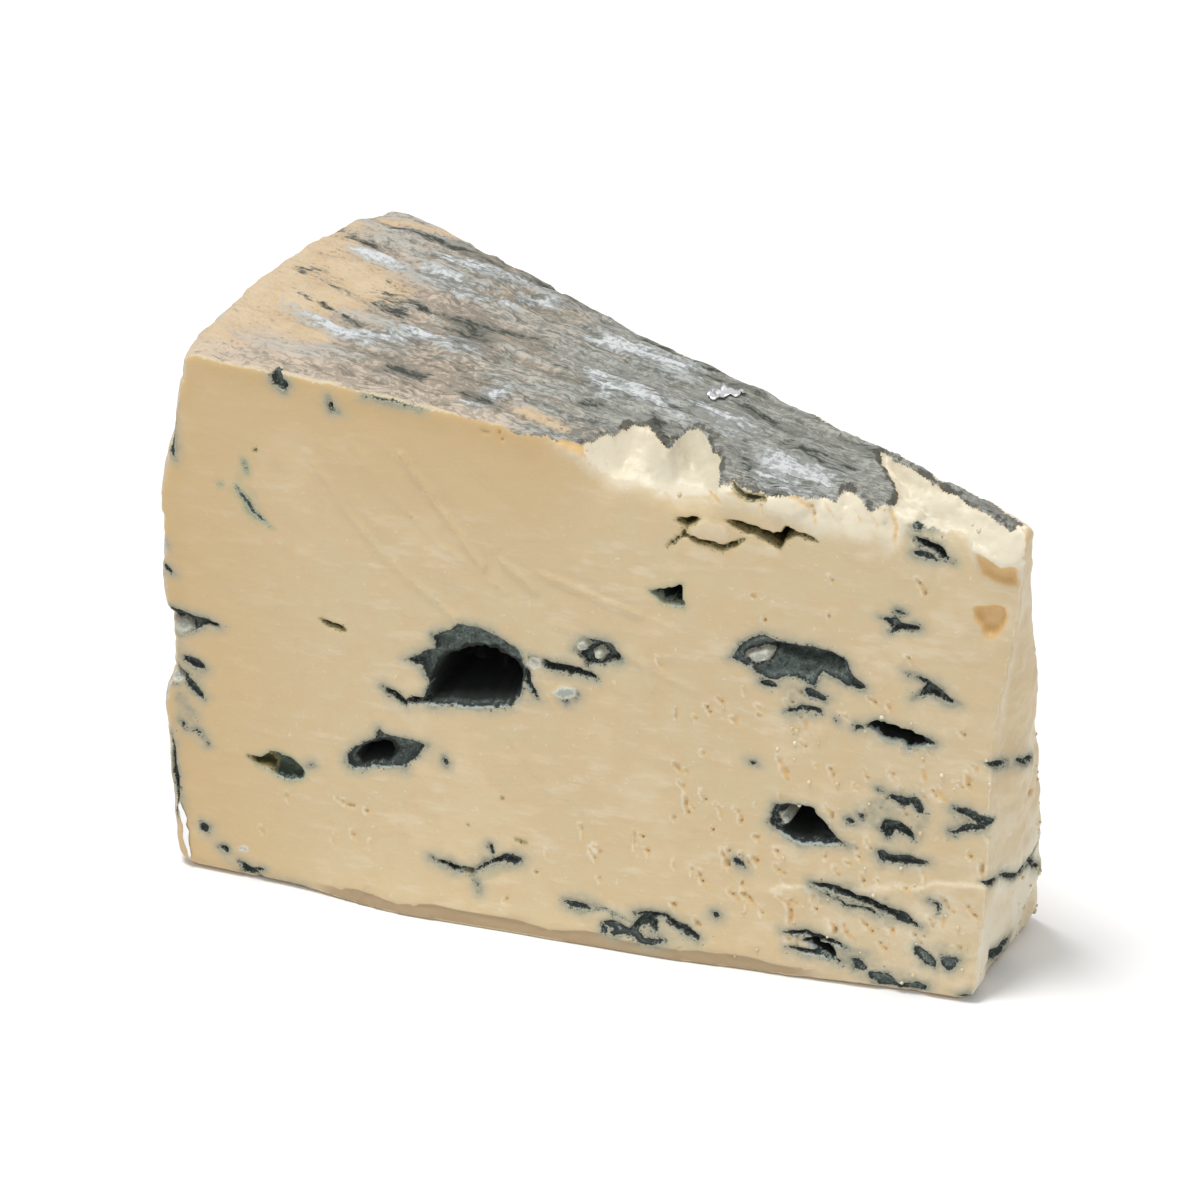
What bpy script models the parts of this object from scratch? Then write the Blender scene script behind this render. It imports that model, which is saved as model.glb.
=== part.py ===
"""Blue cheese wedge: a slice of a round, mould-veined cheese that was halved across, as one solid.

Metres, +Z up. The wedge stands on the flat face where its wheel was halved. Its front cut face looks
along -Y, its blunt tip points along +X and its rind is on top and at the rim, on -X. The origin is on
the base, between the two cut faces.
"""

import math

import bmesh
import bpy
from mathutils import Matrix, Vector, noise

MM = 0.001

# The wheel that the wedge was cut from.
WHEEL_RADIUS = 150 * MM
RIM_HEIGHT = 101 * MM
AXIS_HEIGHT = 93 * MM

# The rim's section below the shoulder, in millimetres: height and how far it bulges past the radius.
RIM_PROFILE = (
    (99.4, 0.1),
    (96.0, 0.9),
    (92.0, 1.6),
    (81.0, 3.6),
    (73.0, 4.7),
    (60.0, 5.4),
    (46.0, 4.9),
    (30.0, 5.0),
    (18.0, 4.6),
    (10.0, 4.1),
    (4.0, 3.5),
    (0.0, 2.4),
)
SHOULDER = 1.6 * MM

# The two radial cuts and the blunt tip. The back cut leans out towards the base.
SECTOR_ANGLE = math.radians(25.5)
BACK_LEAN = math.radians(13.5)
APEX_BLUNTING = 1.2 * MM
TIP_FOOT_FROM_AXIS = 7 * MM
TIP_HEAD_FROM_AXIS = 1 * MM
TIP_TURN = math.radians(4.6)

# Where the wheel's axis stands in the part's frame. The front cut face lies in the plane through it.
AXIS = Vector((72 * MM, -30 * MM, 0))

# How finely the surface is worked.
TURNING_STEPS = 240
GRAIN = 1.0 * MM
WORKED_TRIANGLES = 6400
BASE_ALLOWANCE = 6 * MM

# Relief of the rind, the cut paste and the broken tip.
RIND_RIDGE = 0.8 * MM
RIND_RIDGE_LENGTH = 34 * MM
RIND_RIDGE_WIDTH = 5 * MM
CUT_WAVE = 0.25 * MM
CUT_WAVE_LENGTH = 18 * MM
TIP_CRAG = 1.2 * MM
TIP_CRAG_LENGTH = 9 * MM
TIP_BELLY = 1.6 * MM
RIM_LUMP = 1.1 * MM
RIM_LUMP_LENGTH = 15 * MM

# The top and the rim swell away from the front face, and the back corner is rounded off.
TOP_SWELL = 2.6 * MM
RIM_SWELL = 1.4 * MM
CORNER_WEAR = 2.4 * MM
CORNER_WEAR_REACH = 7 * MM

# A broad crease in the rim beside the front face.
CREASE_HEIGHT = 43 * MM
CREASE_HALF_WIDTH = 8 * MM
CREASE_DEPTH = 1.8 * MM
CREASE_REACH = 18 * MM

# The front edge of the top is worn down. In millimetres: distance from the rim and the drop there.
EDGE_WEAR = (
    (0, 0.0),
    (15, 0.2),
    (27, 0.7),
    (57, 2.4),
    (73, 2.9),
    (100, 4.2),
    (112, 4.0),
    (122, 3.0),
    (135, 1.4),
    (150, 0.8),
)
EDGE_WEAR_REACH = 8 * MM

# Below the worn edge the front face falls back a little, where the paste has crumbled away.
BROW_FROM = 72 * MM
BROW_DEPTH = 1.6 * MM
BROW_HEIGHT = 9 * MM

# Where the rind has broken off: distance from the rim, distance behind the front face, the two half
# lengths and the drop.
RIND_SCOOP = (85 * MM, 0.5 * MM, 13 * MM, 10 * MM, 3.4 * MM)
RIND_LOSS_FROM = 118 * MM
RIND_LOSS_DROP = 1.9 * MM
RIND_STRIP = 1.6 * MM

# The foot of the front face spreads a little. In millimetres: distance from the rim and the spread.
FOOT_SPREAD = ((0, 1.0), (25, 2.2), (45, 3.2), (70, 2.8), (110, 2.6), (140, 1.8), (150, 1.2))
FOOT_SPREAD_HEIGHT = 22 * MM

# Hollows in the front face, in millimetres: distance from the rim, height, width, tallness, depth, tilt
# in degrees and how much of the floor is flat, from 0 to 1.
FRONT_HOLLOWS = (
    ("great", 52.5, 47.5, 21, 17, 15, -4, 0.75),
    ("great_tail", 42.5, 49.0, 9, 4.5, 6, 20, 0.0),
    ("great_foot", 40.0, 40.8, 8, 2.6, 4, -12, 0.0),
    ("knot", 75.5, 55.0, 8, 5.5, 4, -10, 0.0),
    ("knot_slit", 68.0, 52.0, 14, 1.6, 3.5, -9, 0.0),
    ("second", 34.5, 29.8, 13, 8.5, 9, 12, 0.5),
    ("green", 15.7, 23.7, 12, 5.6, 6, -12, 0.3),
    ("small_slit", 26.3, 52.8, 6, 1.8, 3, -10, 0.0),
    ("bird_left", 49.2, 10.0, 10, 1.8, 3, -12, 0.0),
    ("bird_right", 57.2, 12.6, 10, 1.9, 3, 16, 0.0),
    ("crack_left", 94.0, 80.4, 14, 2.4, 6, 2, 0.0),
    ("crack_left_head", 90.4, 82.9, 5.5, 2.8, 5, 0, 0.0),
    ("crack_right", 104.0, 82.6, 16, 2.8, 7, -4, 0.0),
    ("triangle", 88.0, 69.6, 6.6, 5.0, 7, 25, 0.0),
    ("dark_bar", 133.2, 85.6, 9.5, 3.6, 3.5, -34, 0.0),
    ("tan_pit", 142.8, 72.6, 7, 7, 3, 0, 0.0),
    ("star", 127.0, 70.2, 7.5, 3.4, 3, -8, 0.0),
    ("long_back", 109.5, 60.2, 19, 6.6, 6.5, -12, 0.0),
    ("long_stem", 112.4, 54.6, 4, 6.5, 3, 0, 0.0),
    ("green_chip", 133.2, 58.8, 9, 3.2, 3, -24, 0.0),
    ("black_oval", 126.6, 48.6, 10.5, 4.6, 8, -14, 0.0),
    ("low_right", 112.0, 28.8, 12.5, 7.6, 10, -14, 0.0),
    ("swirl", 127.8, 31.0, 7, 4.2, 3, -6, 0.0),
    ("bar_low", 129.0, 25.6, 8.5, 1.7, 2.5, 0, 0.0),
    ("edge_mark", 140.8, 34.8, 8.5, 3.0, 2.5, -4, 0.0),
    ("long_slit", 123.0, 16.1, 20, 2.5, 3.5, -13, 0.0),
    ("foot_hole", 115.4, 6.7, 9, 3.0, 6, -8, 0.0),
    ("foot_lattice", 85.6, 5.4, 15, 3.2, 2.5, -4, 0.0),
    ("rim_cleft", -2.0, 47.2, 11, 6.5, 7, -10, 0.0),
    ("rim_nick", -3.5, 37.5, 7, 5.5, 6, 0, 0.0),
    ("shoulder_nick", 17.0, 98.4, 4.5, 4.0, 3, -30, 0.0),
)

# Hollows in the back face, given the same way and seen from behind: distance from the tip's end.
BACK_HOLLOWS = (
    ("cave", 96.0, 44.0, 18, 10, 10, 8, 0.6),
    ("cave_tail", 108.0, 41.5, 12, 2.4, 4, -12, 0.0),
    ("eye", 62.0, 58.0, 12, 6.5, 7, -10, 0.0),
    ("mid_slit", 42.0, 36.0, 15, 2.8, 5, 10, 0.0),
    ("shelf", 120.0, 66.0, 13, 5.5, 6, 6, 0.0),
    ("low_eye", 72.0, 22.0, 13, 6.0, 7, -6, 0.3),
    ("high_slit", 84.0, 78.0, 17, 2.6, 5, 4, 0.0),
    ("tip_eye", 26.0, 62.0, 8, 4.2, 4, 12, 0.0),
    ("foot_slit", 108.0, 10.0, 17, 2.8, 4, -5, 0.0),
    ("tip_foot", 30.0, 14.0, 10, 3.6, 4, 8, 0.0),
)

# Hollows in the tip, given the same way: distance from the front edge.
TIP_HOLLOWS = (
    ("tip_vein_high", 9.5, 47.0, 8, 1.8, 2.5, 6, 0.0),
    ("tip_vein_low", 14.0, 24.0, 13, 2.2, 3, 12, 0.0),
    ("tip_spot", 12.0, 8.5, 6, 2.6, 2.5, 10, 0.0),
)

CREAM = (0.72, 0.60, 0.39, 1.0)
HOLLOW_SHARE_OF_FLOOR = 0.5
LUMP_SHARE = 0.22


def clear_scene():
    for obj in list(bpy.data.objects):
        bpy.data.objects.remove(obj)


def new_collection(name):
    collection = bpy.data.collections.new(name)
    bpy.context.scene.collection.children.link(collection)
    return collection


def paste_material():
    material = bpy.data.materials.new("cheese_paste")
    material.use_nodes = True
    shader = material.node_tree.nodes["Principled BSDF"]
    shader.inputs["Base Color"].default_value = CREAM
    shader.inputs["Roughness"].default_value = 0.5
    shader.inputs["Metallic"].default_value = 0.0
    return material


def between(table, value):
    """Value of a table of (place, amount) in millimetres, at a place in metres, as metres."""
    place = value / MM
    if place <= table[0][0]:
        return table[0][1] * MM
    for (low, first), (high, second) in zip(table, table[1:]):
        if place <= high:
            return (first + (second - first) * (place - low) / (high - low)) * MM
    return table[-1][1] * MM


def smoothstep(low, high, value):
    share = min(1.0, max(0.0, (value - low) / (high - low)))
    return share * share * (3 - 2 * share)


def top_height(radius):
    """Height of the slightly dished top at a distance from the wheel's axis."""
    return AXIS_HEIGHT + (RIM_HEIGHT - AXIS_HEIGHT) * radius / WHEEL_RADIUS


def wheel_profile():
    """(radius, height) of half the wheel's section, from the top of the axis down the rim to the base."""
    points = [(0.0, AXIS_HEIGHT), (WHEEL_RADIUS - SHOULDER, RIM_HEIGHT)]
    for height, bulge in RIM_PROFILE:
        points.append((WHEEL_RADIUS + bulge * MM, height * MM))
    points.append((points[-1][0], -BASE_ALLOWANCE))
    points.append((0.0, -BASE_ALLOWANCE))
    return points


def turned_wheel(collection):
    """The whole wheel, turned about its axis, with some extra below the base."""
    profile = wheel_profile()
    mesh = bpy.data.meshes.new("wheel_profile")
    mesh.from_pydata(
        [(radius, 0, height) for radius, height in profile],
        [(i, i + 1) for i in range(len(profile) - 1)],
        [],
    )
    wheel = bpy.data.objects.new("wheel", mesh)
    collection.objects.link(wheel)
    screw = wheel.modifiers.new("turn", "SCREW")
    screw.angle = math.tau
    screw.steps = screw.render_steps = TURNING_STEPS
    screw.use_merge_vertices = True
    screw.merge_threshold = 0.0001
    wheel.location = AXIS
    return wheel


def evaluated_mesh(obj, name):
    """The object's mesh with its modifiers applied and its place in the mesh."""
    bpy.context.view_layer.update()
    graph = bpy.context.evaluated_depsgraph_get()
    mesh = bpy.data.meshes.new_from_object(obj.evaluated_get(graph))
    mesh.name = name
    mesh.transform(obj.matrix_world)
    return mesh


def cut_off(bm, point, normal):
    """Cuts the closed mesh by a plane, drops what is on the normal's side and caps the cut."""
    everything = bm.verts[:] + bm.edges[:] + bm.faces[:]
    cut = bmesh.ops.bisect_plane(
        bm,
        geom=everything,
        dist=1e-7,
        plane_co=point,
        plane_no=normal,
        clear_outer=True,
    )
    rim = [item for item in cut["geom_cut"] if isinstance(item, bmesh.types.BMEdge)]
    bmesh.ops.holes_fill(bm, edges=rim, sides=0)


def back_direction():
    """Unit vector from the wheel's axis along the back cut, at the top."""
    return Vector((-math.cos(SECTOR_ANGLE), math.sin(SECTOR_ANGLE), 0))


def back_outward():
    """Unit normal of the leaning back cut, out of the cheese."""
    level = Vector((math.sin(SECTOR_ANGLE), math.cos(SECTOR_ANGLE), 0))
    return level * math.cos(BACK_LEAN) + Vector((0, 0, math.sin(BACK_LEAN)))


def back_edge_point():
    """A point of the back cut's top edge, beside the wheel's axis."""
    level = Vector((math.sin(SECTOR_ANGLE), math.cos(SECTOR_ANGLE), 0))
    return AXIS + Vector((0, 0, AXIS_HEIGHT)) + level * APEX_BLUNTING


def tip_foot():
    return AXIS - Vector((TIP_FOOT_FROM_AXIS, 0, 0))


def tip_outward():
    """Unit normal of the slanting tip, out of the cheese."""
    head = AXIS + Vector((-TIP_HEAD_FROM_AXIS, 0, AXIS_HEIGHT))
    up = head - tip_foot()
    across = Vector((math.sin(TIP_TURN), math.cos(TIP_TURN), 0))
    return across.cross(up).normalized()


def slice_of(wheel):
    """The plain slice: the wheel cut along the front, the leaning back and the tip."""
    bm = bmesh.new()
    bm.from_mesh(evaluated_mesh(wheel, "wheel_solid"))
    cut_off(bm, AXIS, Vector((0, -1, 0)))
    cut_off(bm, back_edge_point(), back_outward())
    cut_off(bm, tip_foot(), tip_outward())
    bmesh.ops.recalc_face_normals(bm, faces=bm.faces)
    mesh = bpy.data.meshes.new("slice")
    bm.to_mesh(mesh)
    bm.free()
    return mesh


def from_axis(point):
    return math.hypot(point.x - AXIS.x, point.y - AXIS.y)


def streaks(point):
    """Ridges that run along the slice on the rind, from -1 to 1."""
    return noise.noise(
        Vector(
            (
                point.x / RIND_RIDGE_LENGTH,
                point.y / RIND_RIDGE_WIDTH,
                point.z / RIND_RIDGE_LENGTH,
            )
        )
    )


def lumps(point, length):
    return noise.noise(point / length)


def along_cut(point):
    return point.x - (AXIS.x - WHEEL_RADIUS)


def behind_front(point):
    return max(0.0, point.y - AXIS.y)


def worn_edge(point):
    """How far the top is worn down here, near the front face and where the rind is gone."""
    along = along_cut(point)
    behind = behind_front(point)
    drop = between(EDGE_WEAR, along) * math.exp(-((behind / EDGE_WEAR_REACH) ** 2))
    middle, back, half_length, half_width, depth = RIND_SCOOP
    ragged = 0.16 * lumps(point, 5 * MM)
    inside = 1 - math.hypot((along - middle) / half_length, (behind - back) / half_width) + ragged
    drop += depth * smoothstep(0.0, 0.4, inside)
    strip = (WHEEL_RADIUS - along) * math.tan(SECTOR_ANGLE) + APEX_BLUNTING - RIND_STRIP
    lost = smoothstep(0, 1.5 * MM, strip - behind + ragged * 5 * MM)
    lost *= smoothstep(RIND_LOSS_FROM, RIND_LOSS_FROM + 3 * MM, along + ragged * 20 * MM)
    return drop + RIND_LOSS_DROP * lost


def crease(point):
    """Depth of the crease in the rim beside the front face."""
    across = (point.z - CREASE_HEIGHT) / CREASE_HALF_WIDTH
    return CREASE_DEPTH * math.exp(-(across**4)) * math.exp(-behind_front(point) / CREASE_REACH)


def from_back_corner(point):
    """Distance from the upright edge between the rim and the back cut, seen from above."""
    corner = AXIS + back_direction() * WHEEL_RADIUS
    return math.hypot(point.x - corner.x, point.y - corner.y)


def foot_spread(point):
    """How far the foot of the front face stands out here."""
    behind = behind_front(point)
    low = math.exp(-((max(0.0, point.z) / FOOT_SPREAD_HEIGHT) ** 1.5))
    return between(FOOT_SPREAD, along_cut(point)) * low * math.exp(-behind / (20 * MM))


def relief(point, normal):
    """The move of one point of the plain slice that gives the wedge its worn and broken surface."""
    radius = from_axis(point)
    move = Vector((0, 0, 0))
    on_top = smoothstep(0.5, 0.9, normal.z) * smoothstep(60 * MM, 80 * MM, point.z)
    outward = Vector((point.x - AXIS.x, point.y - AXIS.y, 0)) / max(radius, 1 * MM)
    on_rim = smoothstep(WHEEL_RADIUS - 8 * MM, WHEEL_RADIUS - 1 * MM, radius)
    on_rim *= smoothstep(0.3, 0.8, normal.dot(outward))
    on_tip = smoothstep(0.5, 0.9, normal.x)
    on_front = smoothstep(0.5, 0.9, -normal.y)
    on_back = smoothstep(0.5, 0.9, normal.dot(back_outward()))
    top = top_height(radius)
    behind = behind_front(point)
    belly = math.sin(math.pi * min(1.0, max(0.0, point.z / top)) ** 0.6)
    away = smoothstep(0, 35 * MM, behind)
    near_top = smoothstep(top - 14 * MM, top, point.z)
    move += normal * RIND_RIDGE * on_top * streaks(point)
    move += normal * RIM_LUMP * on_rim * lumps(point, RIM_LUMP_LENGTH)
    move += normal * on_rim * (RIM_SWELL * smoothstep(0, 12 * MM, behind) - crease(point))
    move.z += TOP_SWELL * away * near_top * smoothstep(80 * MM, 135 * MM, radius)
    move.z -= CORNER_WEAR * near_top * math.exp(-from_back_corner(point) / CORNER_WEAR_REACH)
    move += normal * TIP_CRAG * on_tip * lumps(point, TIP_CRAG_LENGTH)
    move += normal * TIP_BELLY * on_tip * belly * smoothstep(2 * MM, 9 * MM, behind)
    move += normal * CUT_WAVE * on_front * lumps(point, CUT_WAVE_LENGTH)
    move += normal * 3 * CUT_WAVE * on_back * lumps(point, CUT_WAVE_LENGTH)
    brow = smoothstep(top - BROW_HEIGHT, top, point.z) * math.exp(-behind / (8 * MM))
    brow *= smoothstep(BROW_FROM - 8 * MM, BROW_FROM + 8 * MM, along_cut(point))
    move.y += BROW_DEPTH * brow * (1 + 0.8 * lumps(point, 4 * MM))
    move.z -= worn_edge(point) * near_top
    move.y -= foot_spread(point)
    return move


def worked_slice(slice_mesh, collection):
    """The slice with an even skin of small faces, its relief, and then as few faces as that needs."""
    block = bpy.data.objects.new("block", slice_mesh)
    collection.objects.link(block)
    remesh = block.modifiers.new("even_skin", "REMESH")
    remesh.mode = "VOXEL"
    remesh.voxel_size = GRAIN
    ease = block.modifiers.new("eased_edges", "SMOOTH")
    ease.factor = 0.5
    ease.iterations = 2
    mesh = evaluated_mesh(block, "worked_slice")
    moves = [relief(vertex.co, vertex.normal) for vertex in mesh.vertices]
    for vertex, move in zip(mesh.vertices, moves):
        vertex.co += move
    mesh.update()
    worked = bpy.data.objects.new("worked", mesh)
    collection.objects.link(worked)
    thin = worked.modifiers.new("fewer_faces", "DECIMATE")
    triangles = sum(len(polygon.vertices) - 2 for polygon in mesh.polygons)
    thin.ratio = WORKED_TRIANGLES / triangles
    thin.use_collapse_triangulate = True
    return evaluated_mesh(worked, "wedge")


def lump_cutter(name, collection, place, size, flat_floor, seed):
    """An uneven egg that is cut away. Its local X is its width, Y its depth and Z its tallness."""
    longest = max(size)
    bm = bmesh.new()
    bmesh.ops.create_icosphere(bm, subdivisions=3 if longest > 17 * MM else 2, radius=0.5)
    floor = -0.5 + (1 - HOLLOW_SHARE_OF_FLOOR) * 0.5 * flat_floor
    for vertex in bm.verts:
        bump = noise.noise(vertex.co * 3.1 + Vector((seed * 7.3, seed * 2.1, 0)))
        vertex.co *= 1 + LUMP_SHARE * bump
        if flat_floor:
            vertex.co.z = max(vertex.co.z, floor)
    bmesh.ops.scale(bm, vec=Vector(size), verts=bm.verts)
    bmesh.ops.recalc_face_normals(bm, faces=bm.faces)
    mesh = bpy.data.meshes.new(name)
    bm.to_mesh(mesh)
    bm.free()
    cutter = bpy.data.objects.new(name, mesh)
    cutter.matrix_world = place
    cutter.hide_render = True
    cutter.display_type = "WIRE"
    collection.objects.link(cutter)
    return cutter


def face_place(origin, along, inward, distance, height, tilt):
    """Matrix of a spot on a cut face: X along the face, Y into the cheese and Z up the face."""
    up = along.cross(inward)
    turn = Matrix((along, inward, up)).transposed().to_4x4()
    spot = origin + along * distance + up * height
    return Matrix.Translation(spot) @ turn @ Matrix.Rotation(-tilt, 4, "Y")


def cut_rows(rows, origin, along, inward, collection):
    """A cutter for each hollow of one face."""
    for seed, (name, distance, height, width, tall, depth, tilt, flat) in enumerate(rows):
        tilt = math.radians(tilt)
        place = face_place(origin, along, inward, distance * MM, height * MM, tilt)
        if rows is FRONT_HOLLOWS:
            place.translation.y -= foot_spread(place.translation)
        size = (width * MM, 2 * depth * MM, tall * MM)
        lump_cutter("cut_" + name, collection, place, size, flat, seed)


def cut_hollows(collection):
    """A cutter for each hollow of the front face, the back face and the tip."""
    front_origin = AXIS - Vector((WHEEL_RADIUS, 0, 0))
    cut_rows(FRONT_HOLLOWS, front_origin, Vector((1, 0, 0)), Vector((0, 1, 0)), collection)
    inward = -back_outward()
    up = back_direction().cross(inward)
    back_origin = back_edge_point() - up * (AXIS_HEIGHT / math.cos(BACK_LEAN))
    cut_rows(BACK_HOLLOWS, back_origin, back_direction(), inward, collection)
    across = Vector((math.sin(TIP_TURN), math.cos(TIP_TURN), 0))
    cut_rows(TIP_HOLLOWS, tip_foot(), across, -tip_outward(), collection)


def build_wedge():
    helpers = new_collection("helpers")
    cutters = new_collection("cutters")
    parts = new_collection("blue_cheese_wedge")
    plain = slice_of(turned_wheel(helpers))
    mesh = worked_slice(plain, helpers)
    cut_hollows(cutters)
    rough = bpy.data.objects.new("rough_wedge", mesh)
    helpers.objects.link(rough)
    carve = rough.modifiers.new("carve", "BOOLEAN")
    carve.operation = "DIFFERENCE"
    carve.operand_type = "COLLECTION"
    carve.collection = cutters
    carve.solver = "MANIFOLD"
    bm = bmesh.new()
    bm.from_mesh(evaluated_mesh(rough, "carved"))
    cut_off(bm, Vector((0, 0, 0)), Vector((0, 0, -1)))
    finished = bpy.data.meshes.new("wedge")
    bm.to_mesh(finished)
    bm.free()
    for obj in list(helpers.objects) + list(cutters.objects):
        bpy.data.objects.remove(obj)
    wedge = bpy.data.objects.new("wedge", finished)
    wedge.data.materials.clear()
    wedge.data.materials.append(paste_material())
    wedge.data.shade_smooth()
    wedge.data.set_sharp_from_angle(angle=math.radians(40))
    parts.objects.link(wedge)
    return wedge


def main():
    clear_scene()
    build_wedge()


main()
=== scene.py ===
"""A wedge of blue cheese: moist cut paste with mould-lined caves, under a dry natural rind.

The wedge is one fine closed mesh. It is the part of a wheel that lies inside five worked faces, each of
them a map of how deep its caves, slits and veins are cut. The faces are measured in millimetres in the
cut frame: u along the front face from the rim to the tip, b behind the front face, z up from the base.
"""

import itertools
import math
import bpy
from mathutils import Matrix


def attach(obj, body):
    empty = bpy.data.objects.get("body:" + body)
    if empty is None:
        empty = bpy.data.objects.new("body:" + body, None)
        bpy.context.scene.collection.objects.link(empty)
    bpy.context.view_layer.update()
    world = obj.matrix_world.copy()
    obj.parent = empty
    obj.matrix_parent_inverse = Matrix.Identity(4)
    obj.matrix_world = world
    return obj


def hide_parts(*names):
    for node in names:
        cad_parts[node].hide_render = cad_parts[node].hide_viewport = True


bl_info = {
    "name": "Blue Cheese Wedge",
    "version": (1, 0, 0),
    "blender": (4, 5, 0),
    "location": "View3D > Sidebar > Cheese",
    "description": "Dresses a wedge of blue cheese with its cut paste, mould, rind and crumbs",
    "category": "Object",
}

import bpy
import numpy as np
from bpy.props import FloatProperty, FloatVectorProperty, IntProperty, PointerProperty
from mathutils import Matrix, Vector

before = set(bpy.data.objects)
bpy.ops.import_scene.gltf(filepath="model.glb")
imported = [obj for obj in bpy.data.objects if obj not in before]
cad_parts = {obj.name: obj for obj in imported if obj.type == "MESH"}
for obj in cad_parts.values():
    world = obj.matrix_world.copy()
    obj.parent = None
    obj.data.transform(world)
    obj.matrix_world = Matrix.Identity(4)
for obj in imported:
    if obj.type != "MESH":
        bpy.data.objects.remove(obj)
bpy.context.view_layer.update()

MM = 0.001
# Farther than any lining reaches, in millimetres.
FAR = 60.0
# Where the wheel's axis stands in the part's frame, in millimetres.
WHEEL_AXIS = (72.0, -30.0, 0.0)
NODE = "wedge"

# The wheel's rim in section, in millimetres: height and how far it bulges past the wheel's radius.
RIM_PROFILE = (
    (0, 2.4), (4, 3.5), (10, 4.9), (18, 5.8), (30, 6.4), (46, 5.6), (60, 5.4), (73, 4.7), (81, 3.6),
    (92, 1.6), (96, 0.9), (99.4, 0.1), (101, -1.6),
)

# The front edge of the top is worn down: distance from the rim and the drop there.
EDGE_WEAR = (
    (0, 0), (15, 0.2), (27, 0.7), (57, 2.4), (73, 2.9), (100, 4.2), (112, 4), (122, 3), (135, 1.4),
    (150, 0.8),
)

# The foot of the front face spreads: distance from the rim and the spread.
FOOT_SPREAD = ((0, 1), (25, 2.2), (45, 3.2), (70, 2.8), (110, 2.6), (140, 1.8), (150, 1.2))

# Above this line the front face is broken and not cut: distance from the rim and height.
BREAK_LINE = (
    (60, 96.5), (70, 93.8), (76, 91), (82, 90), (92, 89.7), (103, 90), (108, 88.5), (112.5, 86.5),
    (123, 87.3), (125.6, 85.5), (127.7, 89.9), (135, 92), (138, 90.6), (139.7, 86.3), (150, 84.8),
)

# Where the rind has broken away from the top, as outlines in (u, b).
RIND_GAPS = (
    (
        (70.5, -3), (71.5, 2), (73.4, 4.4), (75.4, 6.5), (80.5, 9.5), (84.8, 5.2), (86.4, 9.8),
        (88.9, 10.8), (91.6, 8.9), (94, 6.9), (95, 3.5), (97, -3),
    ),
    (
        (112, -4), (115, 2.3), (116.6, 4.5), (121, 1.9), (123.4, 1), (125, 4.4), (120.5, 10), (118.9, 13.2),
        (120, 14.4), (123.6, 11.4), (129.3, 9.3), (134.6, 5.6), (140.4, 3.2), (145.5, 0.6), (152, -1),
        (152, -4),
    ),
)
RIND_GAP_DEPTHS = (3.0, 1.9)

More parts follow.
